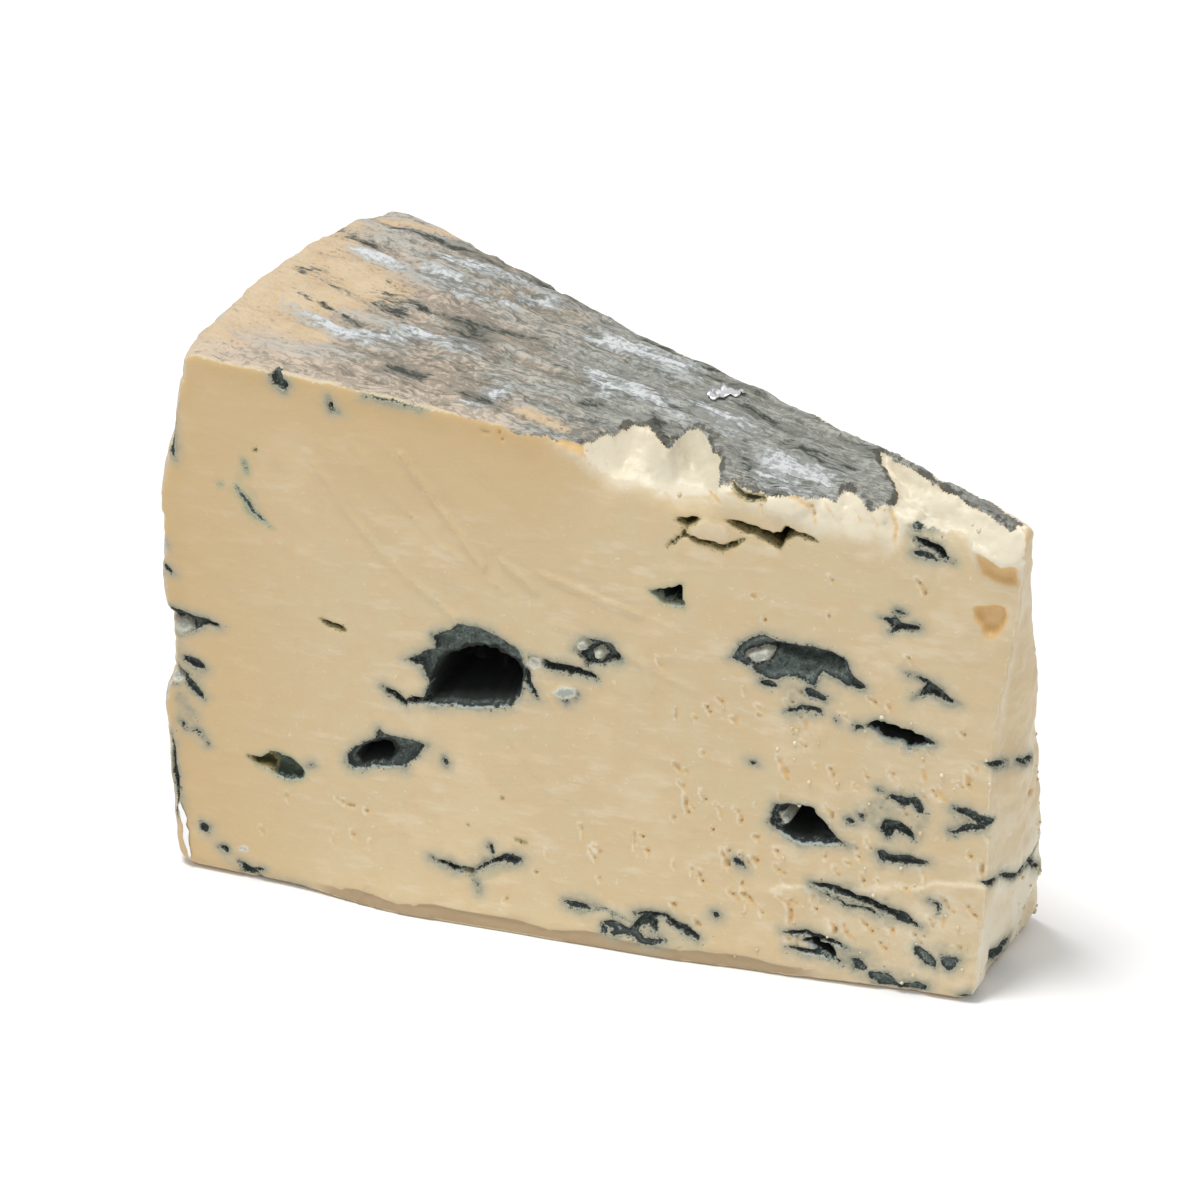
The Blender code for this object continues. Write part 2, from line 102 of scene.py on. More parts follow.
# Caves of the front face: lining, depth, width of the sloping wall and outline in (u, z).
FRONT_CAVES = {
    "great_wall": ("mould", 3.2, 1.61, (
        (39.2, 48.6), (42.1, 47.9), (43.9, 44.3), (42.6, 41.6), (43.7, 40.2), (54.1, 41.2), (59, 42.4),
        (60.8, 44.7), (61.8, 49.8), (60.5, 53.4), (56.1, 56), (52.9, 57), (49.4, 56.9), (44.5, 54.2),
        (44.8, 51.6),
    )),
    "great_core": ("mould", 15, 1, (
        (43.8, 41.2), (44.1, 46), (45.6, 48.7), (49.1, 50.8), (53.2, 51.8), (56.9, 51.2), (59.2, 50),
        (60.8, 47.4), (60.4, 45.2), (59.1, 43.2), (53.1, 42.2), (47.1, 41.6),
    )),
    "knot_ring": ("mould", 1.6, 0.62, (
        (70.4, 56.6), (72.7, 58), (75, 58.2), (77.6, 57), (78.4, 54.8), (76.4, 53.8), (73.4, 52.8),
        (71.2, 54.2),
    )),
    "second_wall": ("mould", 2.6, 1.49, (
        (28.5, 28), (30.3, 29.8), (34, 32), (34.7, 34.6), (35.6, 33.4), (39, 33.2), (43.6, 32.2),
        (41.9, 29.9), (39.5, 27), (34, 26.2), (29.8, 25.2), (28.6, 26.2),
    )),
    "second_core": ("mould", 8, 0.9, (
        (29.6, 27.2), (31, 29), (33.4, 30.4), (36, 30.6), (37.4, 29.2), (36.6, 27.8), (33.8, 27),
        (30.8, 26.4),
    )),
    "green": ("green", 3.2, 1.12, (
        (10.5, 24), (12.7, 24.6), (15.5, 25.8), (18.2, 25.1), (20.4, 23.8), (20.9, 22.3), (19.7, 21.1),
        (16.9, 20.9), (13.4, 21.9),
    )),
    "bird_web": ("olive", 2.2, 0.5, ((49.4, 9.8), (51.1, 9.7), (53.2, 10.3), (52.8, 8.6), (51, 9.1))),
    "crack_left_head": ("olive", 4.5, 0.56, (
        (87.7, 83.3), (90, 83.9), (92.6, 84.5), (91.8, 83), (90.1, 82.4),
    )),
    "crack_right": ("olive", 7, 0.62, (
        (96.4, 84.4), (100, 84.8), (102.7, 83.8), (105, 83.4), (106.5, 83.6), (107.4, 85.2), (109, 84.7),
        (110, 84.1), (108.2, 83.1), (106.9, 82.3), (106.2, 80.4), (104.5, 81.5), (102, 82.4), (100, 82.9),
    )),
    "triangle": ("green", 7, 0.62, (
        (83.6, 69.3), (86.6, 70), (89.2, 71.3), (89.9, 67.3), (88.2, 67), (86, 67.7),
    )),
    "dark_bar": ("mould", 2.6, 0.74, (
        (128, 87.3), (129.8, 87), (132.4, 86.4), (134.2, 85.8), (136.4, 83.4), (134, 83.6), (132.6, 84.6),
        (130.6, 85.2),
    )),
    "tan_pit": ("tan", 1.5, 1.3, (
        (139.7, 75.5), (142.7, 76.6), (145.2, 76.4), (146, 74.8), (145.3, 72.4), (142.5, 69.4),
        (141.5, 70.4), (141, 72), (139.6, 73.2),
    )),
    # A shallow recess under the tip block whose tan lining paints the shadow beneath the block.
    "shadow_under_block": ("tan", 0.9, 1.6, (
        (139.6, 86.2), (142.8, 85), (144.8, 84.2), (147, 84.4), (147.4, 80.8), (144.6, 80.6), (141.2, 82),
    )),
    "star": ("mould", 1, 0.74, (
        (123.8, 71), (125.6, 69.4), (127.4, 69), (130.2, 69.9), (127.8, 70.6), (126.8, 72), (125.8, 71.2),
    )),
    "long_wall": ("mould", 1.9, 2.2, (
        (97.8, 58.6), (100.2, 62.4), (102.9, 64.2), (107.8, 63.9), (112, 63.4), (115.6, 63.2), (118.4, 62),
        (119, 60), (121, 57.6), (118.9, 56.7), (116.6, 58), (114.3, 58.4), (112.6, 55.4), (109.7, 56.8),
        (104.4, 55.8), (100, 58),
    )),
    "long_core": ("mould", 4.2, 0.99, (
        (103, 62.1), (107.8, 63.4), (112.6, 63), (117.6, 61.9), (118.2, 59.8), (114.2, 59.6), (112.4, 58.8),
        (109.1, 59.6), (105.8, 60), (104.2, 61.2),
    )),
    "green_chip": ("mould", 1.8, 0.81, (
        (128.2, 61), (132.4, 60.6), (134.2, 59.9), (138.2, 56.5), (136, 56.6), (133, 57.4), (130, 56.6),
        (132, 59.2),
    )),
    "black_oval": ("mould", 8, 0.93, (
        (121.9, 50.2), (123.6, 51.2), (126.8, 50.9), (130, 50.2), (133.2, 48.3), (129.5, 46.4),
        (128.5, 47.9), (124.3, 47.9),
    )),
    "low_right_wall": ("mould", 2.2, 0.87, (
        (105, 28.3), (106.3, 31.9), (109, 32.5), (113, 32.3), (114, 30.8), (115.8, 29.8), (117.6, 27.3),
        (120.2, 26.6), (115, 25.7), (111.2, 25), (108.3, 25.8),
    )),
    "low_right_core": ("mould", 10, 0.93, (
        (107.1, 30.4), (109, 31.8), (112.8, 31.9), (113.9, 30.5), (116.1, 29.4), (117.4, 27.1),
        (111.2, 25.7), (108.2, 26.4),
    )),
    "swirl": ("mould", 1.8, 0.68, (
        (124.6, 30.6), (125.4, 32.4), (128, 33), (130.2, 32), (131.4, 29.4), (129.6, 29.6), (128.6, 31.2),
        (126.4, 29.6),
    )),
    "foot_hole": ("mould", 6.6, 0.81, ((111.8, 7.8), (114.6, 8), (117.8, 6.6), (118.6, 4.8), (115.2, 5.4))),
    "rim_cleft": ("mould", 3, 1.86, (
        (-8, 52), (-4, 50.6), (0.7, 49.7), (5.2, 49.4), (1.9, 47.9), (-1.2, 46.2), (-8, 45.4),
    )),
    "rim_nick": ("mould", 2.6, 1.24, ((-9, 41), (-3.4, 40), (-0.4, 38.4), (-2.4, 36), (-9, 34.6))),
    "shoulder_nick": ("mould", 2.4, 0.74, (
        (15.4, 101.4), (16.8, 101.6), (19.6, 97.8), (18.6, 96.6), (16.2, 98.4),
    )),
}

# Veins and slits of the front face by lining: depth, width and path in (u, z). Mould's fur swells them.
MOULD_SWELL = 1.3
FRONT_VEINS = {
    "mould": {
        "great_tail": (2.4, 1.1, ((35.7, 42.3), (37.8, 40.8), (39.8, 39.2))),
        "great_foot": (2.8, 1.2, ((39.6, 39.9), (41.6, 40.6), (44.2, 41.4))),
        "great_side": (2, 1, ((61.6, 50.4), (62, 47.5), (63.5, 44.9))),
        "knot_slit": (2.2, 1.3, ((62.6, 52.6), (67.4, 51.5), (70.9, 51.6), (74.3, 50.5))),
        "knot_arc": (2.6, 1.1, ((74, 57.7), (76.6, 57.1), (78, 55.1), (76.4, 54.2))),
        "knot_neck": (1.8, 0.9, ((70.4, 55.5), (72.2, 55), (72.7, 52.4))),
        "fleck_dot": (0.8, 0.8, ((68.4, 45.4), (69, 45.3))),
        "fleck_dot_right": (0.6, 0.6, ((70.8, 47.2), (70.5, 46.2))),
        "green_stain": (0, 0.3, ((21.2, 24), (22.6, 24.6))),
        "spot": (0.9, 1, ((46.9, 30.4), (47.1, 29.2))),
        "bird_left": (1.8, 0.8, ((44.9, 11), (46.5, 10.4), (48.4, 10.1), (49.8, 9.6), (52.9, 10))),
        "bird_right": (1.8, 0.9, ((53, 10), (54.9, 11.6), (56.8, 12.6), (58.8, 13.2), (61.4, 13.5))),
        "bird_wing": (0.8, 1.5, ((57.6, 13.2), (59.4, 13.4), (61.2, 13.5))),
        "bird_up": (1.2, 0.8, ((55.5, 15.3), (56.1, 13.4))),
        "bird_down": (0.7, 0.5, ((53, 8.8), (53.9, 6.6))),
        "foot_left": (0.9, 1.2, ((1.4, 9), (2.3, 7.6))),
        "foot_left_slit": (1, 1, ((4.6, 5.4), (6.4, 4.9))),
        "foot_cross": (1.6, 1.3, ((8.5, 3), (10.6, 1.8), (13.2, 0))),
        "foot_cross_arm": (1, 0.9, ((8.4, 0.8), (10.4, 1.8), (13.2, 2.6))),
        "foot_smear": (0.5, 0.8, ((13, 0.3), (16.5, 0.2), (21, 0.4))),
        "rim_line_high": (0.9, 1.2, ((-2, 91), (-2.4, 85.4), (-2.1, 80.8))),
        "rim_dot": (0.9, 1.1, ((-5, 63.2), (-4.4, 62.9))),
        "rim_dot_low": (0.9, 1.2, ((-4.6, 59.2), (-3.2, 58))),
        "cleft_line": (1.6, 1.2, ((-3.9, 50.9), (0.7, 49.4), (5.4, 49))),
        "rim_knot": (1.6, 1.4, ((-1.4, 41.4), (0.6, 40.6), (2.4, 40.2))),
        "rim_knot_low": (1.4, 1.3, ((-1.6, 38.4), (0.4, 35.8), (1.9, 34.2))),
        "rim_fleck": (0.6, 0.8, ((-2.4, 28.9), (-1.4, 28.4))),
        "rim_crack": (0.5, 0.5, ((-1.6, 27.6), (1.2, 27.4), (2.6, 25.2))),
        "rim_line_low": (1.2, 0.9, ((-4.6, 26), (-4, 21.7), (-3.7, 17), (-3.9, 9.6))),
        "lip_nick": (1.4, 0.7, ((26.6, 96.4), (27.6, 94.4), (28.6, 94))),
        "lip_line": (0.6, 0.6, ((33, 98), (38, 97.6), (43, 96.8))),
        "bar_arm": (1.4, 1.5, ((128.8, 88.4), (131.7, 89.2), (134.5, 90.1))),
        "bar_low": (1, 1.2, ((129.3, 84.1), (131.4, 84), (133.4, 83.3))),
        "star_slit": (1.6, 1.2, ((125.4, 68.6), (127, 69.5), (130.8, 70))),
        "star_high": (0.8, 0.9, ((126.3, 72.6), (128.2, 72.3))),
        "long_dash": (1.2, 1.4, ((103.4, 55.1), (106.1, 54.9))),
        "long_foot": (1.2, 1.6, ((111.4, 55), (112.6, 54.2), (114.8, 53.6))),
        "long_foot_low": (0.9, 0.9, ((107.3, 49.8), (110.7, 51.2), (114.2, 51))),
        "long_tail": (1.8, 1.9, ((117.8, 59.2), (119.4, 57.9), (121.2, 57.2))),
        "oval_left": (0.8, 0.9, ((119.8, 49.2), (121.4, 49.6))),
        "oval_right": (1.2, 1.6, ((129.2, 47.2), (131.6, 49), (133.8, 48.6))),
        "dot_high": (0.4, 0.7, ((116.6, 50.2), (117, 50))),
        "dot": (0.6, 0.9, ((101.8, 39.4), (102.5, 39.1))),
        "dot_foot": (1, 1.2, ((99.5, 20.3), (101.2, 19.2))),
        "hook": (1.2, 1.4, ((126.3, 37.3), (129.3, 36.5), (131.1, 37.6))),
        "hook_down": (1.2, 1.6, ((130.4, 37.2), (131.2, 36.4), (132.1, 35))),
        "slash": (0.8, 1.1, ((121.3, 32.9), (122.2, 31.8))),
        "slash_low": (0.8, 1.1, ((118.9, 31.2), (120.4, 30.7))),
        "hook_dot": (0.3, 0.7, ((124.3, 38.1), (125.3, 37.9))),
        "swirl_core": (1.4, 1.1, ((125.2, 30.7), (126.3, 29.8), (127.4, 31.2), (129, 31), (130.9, 29.2))),
        "bar_28": (1.4, 1.5, ((124.8, 25.7), (127.3, 25.2), (133.4, 25.5))),
        "bar_28_head": (1.4, 2, ((124.8, 25.9), (126.4, 25.4))),
        "edge_mark": (1.2, 1.5, ((137.5, 36.6), (140.9, 35.9), (144.9, 35.3))),
        "edge_mark_low": (0.9, 1.1, ((137, 32.1), (140.9, 33.6), (144.7, 35))),
        "slit_30": (2, 1.2, (
            (113.3, 18), (118.3, 17.6), (122.4, 16.7), (126.2, 15.6), (129.5, 14.6), (132.8, 13.2),
        )),
        "slit_30_low": (1, 0.7, ((115.2, 17), (119.5, 15.4), (123.2, 15), (126.6, 14.2))),
        "slit_30_end": (1.2, 1.5, ((128.4, 14.8), (131.6, 13.8))),
        "mark_31": (0.5, 0.8, ((134.1, 18.6), (135.8, 18.2), (135.7, 16.4))),
        "foot_hole_top": (1.4, 1, ((108.6, 8.3), (112.7, 8.9), (116.3, 7.9), (120.2, 7.1))),
        "foot_hole_low": (1, 0.9, ((109.6, 5.4), (114.4, 5.3), (119.6, 4.4))),
        "foot_dash": (0.9, 1.4, ((121.2, 5.1), (123.7, 4.1))),
        "foot_dashes": (1.2, 2.2, ((124.6, 3.2), (126.8, 2.3), (129.4, 1.3))),
        "foot_dashes_right": (1, 1.9, ((130, 1.6), (132.1, 1.4), (134.4, 2.3))),
        "mark_35": (0.7, 1.9, ((132.1, 8.9), (133.6, 7.9), (135.6, 6.5))),
        "mark_35_right": (0.7, 2, ((136.8, 8), (138, 7.2), (139.3, 8))),
        "lattice_dash": (1, 1.1, ((69.4, 7.4), (71.6, 7), (74.4, 7))),
        "lattice_hair": (0.5, 0.4, ((73.5, 7.4), (78.3, 6.6), (82.3, 5.7))),
        "lattice_top": (1.4, 1.1, ((82.5, 7), (85.2, 7.3), (88.2, 7.5))),
        "lattice_right": (1.8, 1.3, ((87.8, 7.3), (89.8, 6.5), (91.9, 5.9), (94, 4.6))),
        "lattice_arch": (1.8, 1.4, ((81.8, 4.2), (83.2, 5.8), (84.7, 6.6), (85.7, 5.9), (86.4, 4.6))),
        "lattice_left": (0.8, 1.3, ((76.7, 4.9), (78.8, 4.7), (81.3, 4.1))),
        "lattice_foot": (0.6, 1.2, ((76.6, 4.2), (77.4, 3.2))),
        "lattice_low": (0.7, 1.4, ((78.4, 3.4), (80.6, 4.2), (82.8, 3.9), (84.6, 3), (88, 3.4))),
        "foot_far": (0.5, 1, ((96.3, 9.5), (97.4, 9.1))),
        "corner_stain": (0.6, 1.9, ((140.6, 1), (142.6, 0.9))),
    },
    "olive": {
        "green_root": (1.6, 1.2, ((10, 24.2), (12.6, 23.4), (14.6, 22.2))),
        "small_slit": (2.6, 1, ((24, 53.4), (26.3, 52.9), (28.7, 52.3))),
        "spot_low": (0.4, 0.6, ((57.2, 24.8), (57.6, 24.6))),
        "spot_lowest": (0.3, 0.6, ((51, 18.3), (51.4, 18.1))),
        "bird_dash": (0.6, 0.6, ((59.9, 17.2), (62, 16.6))),
        "streak_dot": (0.6, 0.8, ((12.5, 84.3), (13.4, 84.6))),
        "crack_left_stem": (3, 0.7, ((90.2, 82.8), (89.7, 80.9), (88.4, 79.8), (86.4, 78.3))),
        "crack_left": (4.2, 1.1, (
            (89.5, 80.6), (91.3, 80.3), (94, 79.7), (96.1, 79.5), (98.5, 80.5), (99.9, 81.5),
        )),
        "crack_right_tail": (2, 0.8, ((109.2, 84.2), (112.8, 83.2))),
        # A dark olive slit under the lifted rind edge stands in for the shadow gap there: painted shadow
        # over a shallow cut.
        "rind_lip_shadow_slit": (1.6, 1.3, ((97, 91.6), (98.6, 90.2), (100.7, 89.5), (103.6, 89.7))),
    },
    "green": {
        "streak": (0.9, 1, ((9.2, 77), (11, 74.4), (12.2, 72.4), (15.3, 70.2))),
        "streak_spot": (0.3, 0.5, ((5.8, 77), (6.4, 76.8))),
        "streak_high": (0.3, 0.5, ((10.6, 82.4), (11.5, 79.6))),
    },
    "tan": {
        "brow_crack_left": (0.7, 0.5, ((102.3, 89.5), (102.8, 88.4), (103.3, 86.8))),
        "brow_crack": (0.9, 0.7, ((107.3, 90.8), (109.7, 90.1), (111.8, 89.1), (112.5, 86.5))),
        "brow_crack_middle": (0.7, 0.6, ((117.4, 90.1), (118.7, 89.1), (120.1, 87.7))),
        "brow_crack_right": (0.9, 0.7, ((124.3, 90.3), (125.7, 87.7), (125.8, 84.9))),
        "brow_crack_tip": (0.9, 0.7, ((126.8, 93.4), (129.4, 91.6), (132, 90.2))),
        "brow_fold_line": (0.6, 1.3, ((81.5, 90.6), (84, 90.2), (86.4, 90.3), (90.6, 89.3), (95.8, 88))),
        "lip_crack": (0.8, 0.8, ((56.2, 96.4), (57.2, 95), (57.9, 93.2))),
        "lip_crack_left": (0.5, 0.4, ((53.2, 94.4), (56.3, 94.6))),
        "lip_brown": (0.8, 1.6, ((66, 95.4), (69.8, 94), (73.4, 92.6))),
        "brow_hair": (0.6, 0.4, ((113.6, 90.2), (115, 89), (115.6, 87.6))),
        "brow_hair_right": (0.6, 0.4, ((120.6, 89.6), (122.4, 88.8), (123, 87.4))),
        "brow_hair_left": (0.6, 0.5, ((96.8, 89.6), (98.6, 89.4), (99.8, 88.2))),
        "block_crack": (0.7, 0.8, ((127.6, 94.7), (129.1, 94), (131, 93.2))),
        "block_crack_low": (0.8, 1.2, ((133.6, 91), (135, 90.4), (136.2, 90.6))),
    },
}

# Grey stains in the paste around the veins of the front face: lining, width and path in (u, z).
FRONT_STAINS = (
    ("mould", 5, ((77, 4.6), (84, 5.2), (90, 6))),
    ("mould", 3, ((70, 7.6), (74, 7))),
    ("mould", 7, ((123, 34), (129, 32), (131, 36))),
    ("mould", 4, ((138, 33.6), (143, 35.2))),
    ("mould", 3.4, ((115, 17.4), (124, 15.4), (132, 13.6))),
    ("mould", 4, ((111, 7), (119, 6), (128, 2.6), (134, 2))),
    ("mould", 4, ((132.6, 8.2), (138.6, 7.6))),
    ("green", 2.4, ((46, 10.2), (53, 9.6), (61, 13.2))),
    ("green", 3, ((9.4, 78), (12, 73), (14.6, 70.6))),
    ("mould", 3.6, ((128.4, 87.6), (132.4, 86), (135.6, 83.4))),
    ("mould", 3, ((108, 54), (112.6, 53.6))),
    ("mould", 3, ((-3, 44), (0.6, 38))),
    ("mould", 3.6, ((-2.6, 33.6), (0.4, 28))),
    ("mould", 2.6, ((6, 4), (12, 1.6))),
)

# Below this line the front face stands a little forward: distance from the rim and height.
STEP_LINE = ((96, 15), (104, 16), (111, 17.5), (120, 18.4), (129, 20.5), (137.5, 22.5), (150, 23.4))

# Pale flakes that lie on the face or stand in a cave: depth of their top and outline in (u, z).
FRONT_FLAKES = {
    "great_flake": (0.4, ((61.4, 51.2), (62.6, 52.8), (64.2, 52.9), (64.4, 51.2), (62.8, 50.2))),
    "knot_flake_left": (-0.2, ((70.6, 56.7), (72, 57.6), (73, 56.6), (72.2, 55.4), (71, 55.4))),
    "knot_flake_right": (0, ((73.6, 55.6), (74.8, 56.4), (75.8, 55.4), (75, 54), (73.8, 54.2))),
    "white_fleck": (-0.3, ((65.8, 46.4), (68, 48.5), (70.7, 48.3), (70.6, 46.4), (68, 45.6))),
    "long_flake": (0.2, (
        (100.6, 59.6), (101.6, 60.4), (103, 60.9), (104, 61.6), (105.2, 60.9), (104.2, 58.8), (102.1, 58.4),
    )),
    "low_right_flake": (1, ((106.6, 29.2), (107.6, 30), (109, 29.4), (108.9, 27.2), (107.6, 27.4))),
    "foot_fleck": (-0.3, ((7.9, 6), (9.3, 6.8), (10.5, 6.6), (10.2, 5.4), (8.6, 5.2))),
    "cleft_fur": (1, ((-7, 48.4), (-4, 48), (-1.6, 48.3), (0.2, 47.6), (-1.4, 46.4), (-7, 45.6))),
    "nick_fur": (0.9, ((-5, 38.4), (-3, 38.2), (-1.6, 37.2), (-2.6, 36.2), (-5, 35.8))),
}

# Blocks of broken paste that stand out from the front face: height and outline in (u, z).
FRONT_BLOCKS = {
    "tip_block": (1.7, (
        (138.6, 92.4), (139.3, 86.4), (142.6, 85.2), (144.5, 84.4), (146.6, 84.7), (150.5, 87.6), (153, 94),
        (145, 95),
    )),
    "brow_lump": (0.9, ((74, 98), (78.6, 93.2), (84, 92.2), (88, 93.6), (86, 98))),
    "brow_fold": (0.7, ((103.4, 93), (103.9, 88), (107.2, 86.6), (111.2, 88.6), (112.2, 92))),
    "brow_flap": (0.6, ((114, 93), (113.4, 88.4), (118.6, 87.2), (124, 88.4), (124.8, 92))),
    "curd_left": (0.5, ((90.4, 83), (91.2, 81.2), (94.4, 80.4), (98, 81.2), (97, 83.4), (93.6, 84.4))),
    "face_flake": (0.35, (
        (79.6, 57.2), (82, 54.4), (83.8, 49.4), (84.8, 50.6), (83.6, 55.4), (81.2, 58.6),
    )),
}

# Drag marks of the knife: height of the ridge and path in (u, z).
KNIFE_DRAGS = (
    (0.23, ((39.5, 88), (45.6, 79.6), (50.2, 73.6), (53.7, 68.6))),
    (0.19, ((57.4, 70.6), (61, 67.6), (63.2, 65.8))),
    (0.19, ((64.4, 69.2), (70.4, 67.4), (78.2, 65.2), (82, 64.2))),
    (0.13, ((22, 86), (29, 76), (38, 66), (49, 58))),
    (0.09, ((30, 90), (37, 80), (46, 72), (58, 64.6))),
    (0.08, ((14, 62), (18, 52), (20, 42))),
    (0.08, ((57, 38), (64, 30), (72, 25))),
    (0.09, ((66, 60), (78, 57), (92, 51))),
)

# Tan and pale chips torn out of the paste: lowest and highest u, lowest and highest z, and how many.
CHIP_FIELDS = (
    (128, 144, 36, 52, 22),
    (100, 128, 34, 56, 24),
    (96, 146, 8, 34, 70),
    (84, 100, 34, 58, 10),
    (88, 104, 8, 34, 20),
    (60, 90, 6, 24, 10),
    (8, 60, 3, 20, 8),
    (100, 138, 62, 84, 8),
)

# Caves of the back face: distance from the tip, height, width, tallness, depth and tilt in degrees.
BACK_CAVES = {
    "cave": (96, 44, 18, 10, 10, 8),
    "cave_tail": (108, 41.5, 12, 2.4, 4, -12),
    "eye": (62, 58, 12, 6.5, 7, -10),
    "mid_slit": (42, 36, 15, 2.8, 5, 10),
    "shelf": (120, 66, 13, 5.5, 6, 6),
    "low_eye": (72, 22, 13, 6, 7, -6),
    "high_slit": (84, 78, 17, 2.6, 5, 4),
    "tip_eye": (26, 62, 8, 4.2, 4, 12),
    "foot_slit": (108, 10, 17, 2.8, 4, -5),
    "tip_foot": (30, 14, 10, 3.6, 4, 8),
}
BACK_VEINS = 52

# Veins of the tip by lining: depth, width and path in (distance from the front edge, height).
TIP_VEINS = {
    "mould": {
        "tip_high": (1.4, 1.5, ((-1, 46.4), (1.4, 45.7), (3.2, 45))),
        "tip_high_back": (1.4, 1.3, ((5.6, 44.6), (8.4, 43.6), (11.8, 42.5))),
        "tip_low_front": (1.2, 1.4, ((-1.6, 24.4), (0.8, 22.9), (3, 22.6))),
        "tip_low": (1.6, 1.5, ((3.4, 23.4), (6.4, 21.6), (10.6, 20.5), (16.1, 19.4))),
        "tip_low_end": (1.2, 1.5, ((15, 20.4), (19, 17.6), (22.6, 14))),
        "tip_low_arm": (0.9, 1, ((14, 17.6), (17.6, 18.6), (21, 20.2))),
        "tip_spot": (2.2, 2.6, ((4, 5.9), (8.6, 4.6), (13.4, 4.2))),
        "tip_spot_low": (1.4, 1.5, ((7, 2.4), (10.4, 2), (12.8, 2.2))),
        "tip_foot": (0.8, 1.4, ((-1.9, 0.9), (1.8, 0.6))),
    },
    "tan": {
        "tip_dot": (1.2, 1.6, ((12, 35.4), (13.8, 34.8))),
    },
}

# Streaks on the rind by what grows there: half their width, and their two ends in (u, b).
RIND_STREAKS = {
    "ochre": (
        (15, (1, 6), (8, 50)), (9, (6, 19), (24, 29)), (8, (13, 39), (27, 28)), (3, (9, 14), (22, 13)),
        (1.1, (58, 6), (68, 4)), (1.1, (14, 58), (40, 54)),
    ),
    "bloom": (
        (2.8, (16, 43), (27, 39)), (3.6, (28, 40), (46, 37)), (2.4, (44, 38), (55, 42)),
        (2.6, (31, 47), (50, 44)), (2.2, (10, 21), (22, 17)), (3, (22, 15), (39, 21)),
        (2.8, (39, 21), (47, 20)), (2.6, (64, 32), (74, 31)), (3.4, (75, 30), (84, 25)),
        (3.4, (72, 21), (87, 11)), (3.4, (86, 19), (96, 11)), (4.5, (101, 4), (113, 5)),
        (3, (102, 0), (109, 0)), (2.2, (50, 4), (55, 10)), (3, (66, 21), (73, 14)),
    ),
    "soot": (
        (2, (10, 50), (23, 47)), (1.2, (14, 55), (29, 53)), (2, (26, 53), (42, 49)),
        (2.2, (28, 29.5), (35, 28.5)), (3.4, (25, 31), (31, 24)), (2.6, (35, 28), (47, 26)),
        (2.2, (40, 24), (49, 22)), (1.4, (8, 33), (14, 33)), (0.9, (14, 31), (27, 24)),
        (0.8, (12, 25), (26, 19)), (1.6, (31, 8), (41, 9)), (1.6, (48, 7), (56, 5)),
        (1, (48, 27.5), (57, 28)), (1.2, (59, 20), (66, 20)), (1.2, (66, 10), (73, 11)),
        (1.6, (80, 12), (85, 5)), (1.8, (82, 28), (91, 25)), (1.6, (91, 24), (95, 20)),
        (1.8, (98, -1), (103, -3)), (1.6, (93, 20), (106, 13)), (1.8, (104, 12), (117, 8)),
        (1.6, (97, 9), (101, 1)), (2.4, (117, 14), (133, 6)), (1.2, (76, 19), (87, 13)),
        (1.4, (103, 2), (108, 0)), (1.2, (44, 47), (70, 41)), (1.2, (70, 36), (96, 25)),
    ),
}


def hex_colour(code):
    """An sRGB hex colour as linear red, green, blue and alpha."""
    linear = []
    for place in (1, 3, 5):
        value = int(code[place : place + 2], 16) / 255
        linear.append(value / 12.92 if value <= 0.04045 else ((value + 0.055) / 1.055) ** 2.4)
    return (*linear, 1.0)


def length_setting(name, description, default):
    return FloatProperty(name=name, description=description, default=default, unit="LENGTH", precision=5)


def angle_setting(name, description, degrees):
    angle = math.radians(degrees)
    return FloatProperty(name=name, description=description, default=angle, subtype="ANGLE")


def colour_setting(name, description, code):
    return FloatVectorProperty(
        name=name,
        description=description,
        default=hex_colour(code),
        subtype="COLOR",
        size=4,
        min=0,
        max=1,
    )


class WedgeSizes(bpy.types.PropertyGroup):
    """Sizes of the slice and of its worked surface."""

    wheel_radius: length_setting("Wheel radius", "Radius of the wheel that the wedge was cut from", 0.150)
    rim_height: length_setting("Rim height", "Height of the halved wheel at its rim", 0.101)
    axis_height: length_setting("Axis height", "Height of the halved wheel at its axis", 0.093)
    sector: angle_setting("Sector", "Angle between the two radial cuts", 25.5)
    back_lean: angle_setting("Back lean", "How far the back cut leans out towards the base", 13.5)
    tip_turn: angle_setting("Tip turn", "How far the blunt tip is turned from square to the front cut", 4.6)
    grain: length_setting("Surface grain", "Spacing of the grid that the surface is worked on", 0.0005)
    triangles: IntProperty(
        name="Triangles",
        description="Most triangles that the finished wedge keeps",
        default=198000,
    )
    rind_ridge: length_setting("Rind ridge", "Height of the ridges that run towards the axis", 0.0005)
    crumb: length_setting("Crumb", "Width of the largest crumbs", 0.001)
    smallest_crumb: length_setting("Smallest crumb", "Width of the smallest crumbs", 0.0002)
    crumb_density: FloatProperty(
        name="Crumb density",
        description="Crumbs on each square metre of the most broken paste",
        default=500000.0,
    )
    foil: length_setting("Foil", "Thickness of the foil", 0.00005)


class WedgeColours(bpy.types.PropertyGroup):
    """Colours of the paste and the rind."""

    paste: colour_setting("Paste", "Ivory of the cut paste", "#CBB892")
    paste_warm: colour_setting("Warm paste", "Warmer and riper paste", "#CAB189")
    paste_fresh: colour_setting("Broken paste", "Pale cream where the paste has broken", "#DDD5BF")
    paste_tan: colour_setting("Tan pits", "Buttery tan at the bottom of pits and chips", "#D2A968")
    rind_grey: colour_setting("Grey rind", "Grey of the dry rind", "#92958E")
    rind_ochre: colour_setting("Ochre rind", "Peach and ochre of the bare rind", "#C2A985")
    rind_bloom: colour_setting("White bloom", "White-blue bloom on the rind", "#A9AEAE")
    rind_soot: colour_setting("Dark rind", "Green-black mould on the rind", "#33362F")


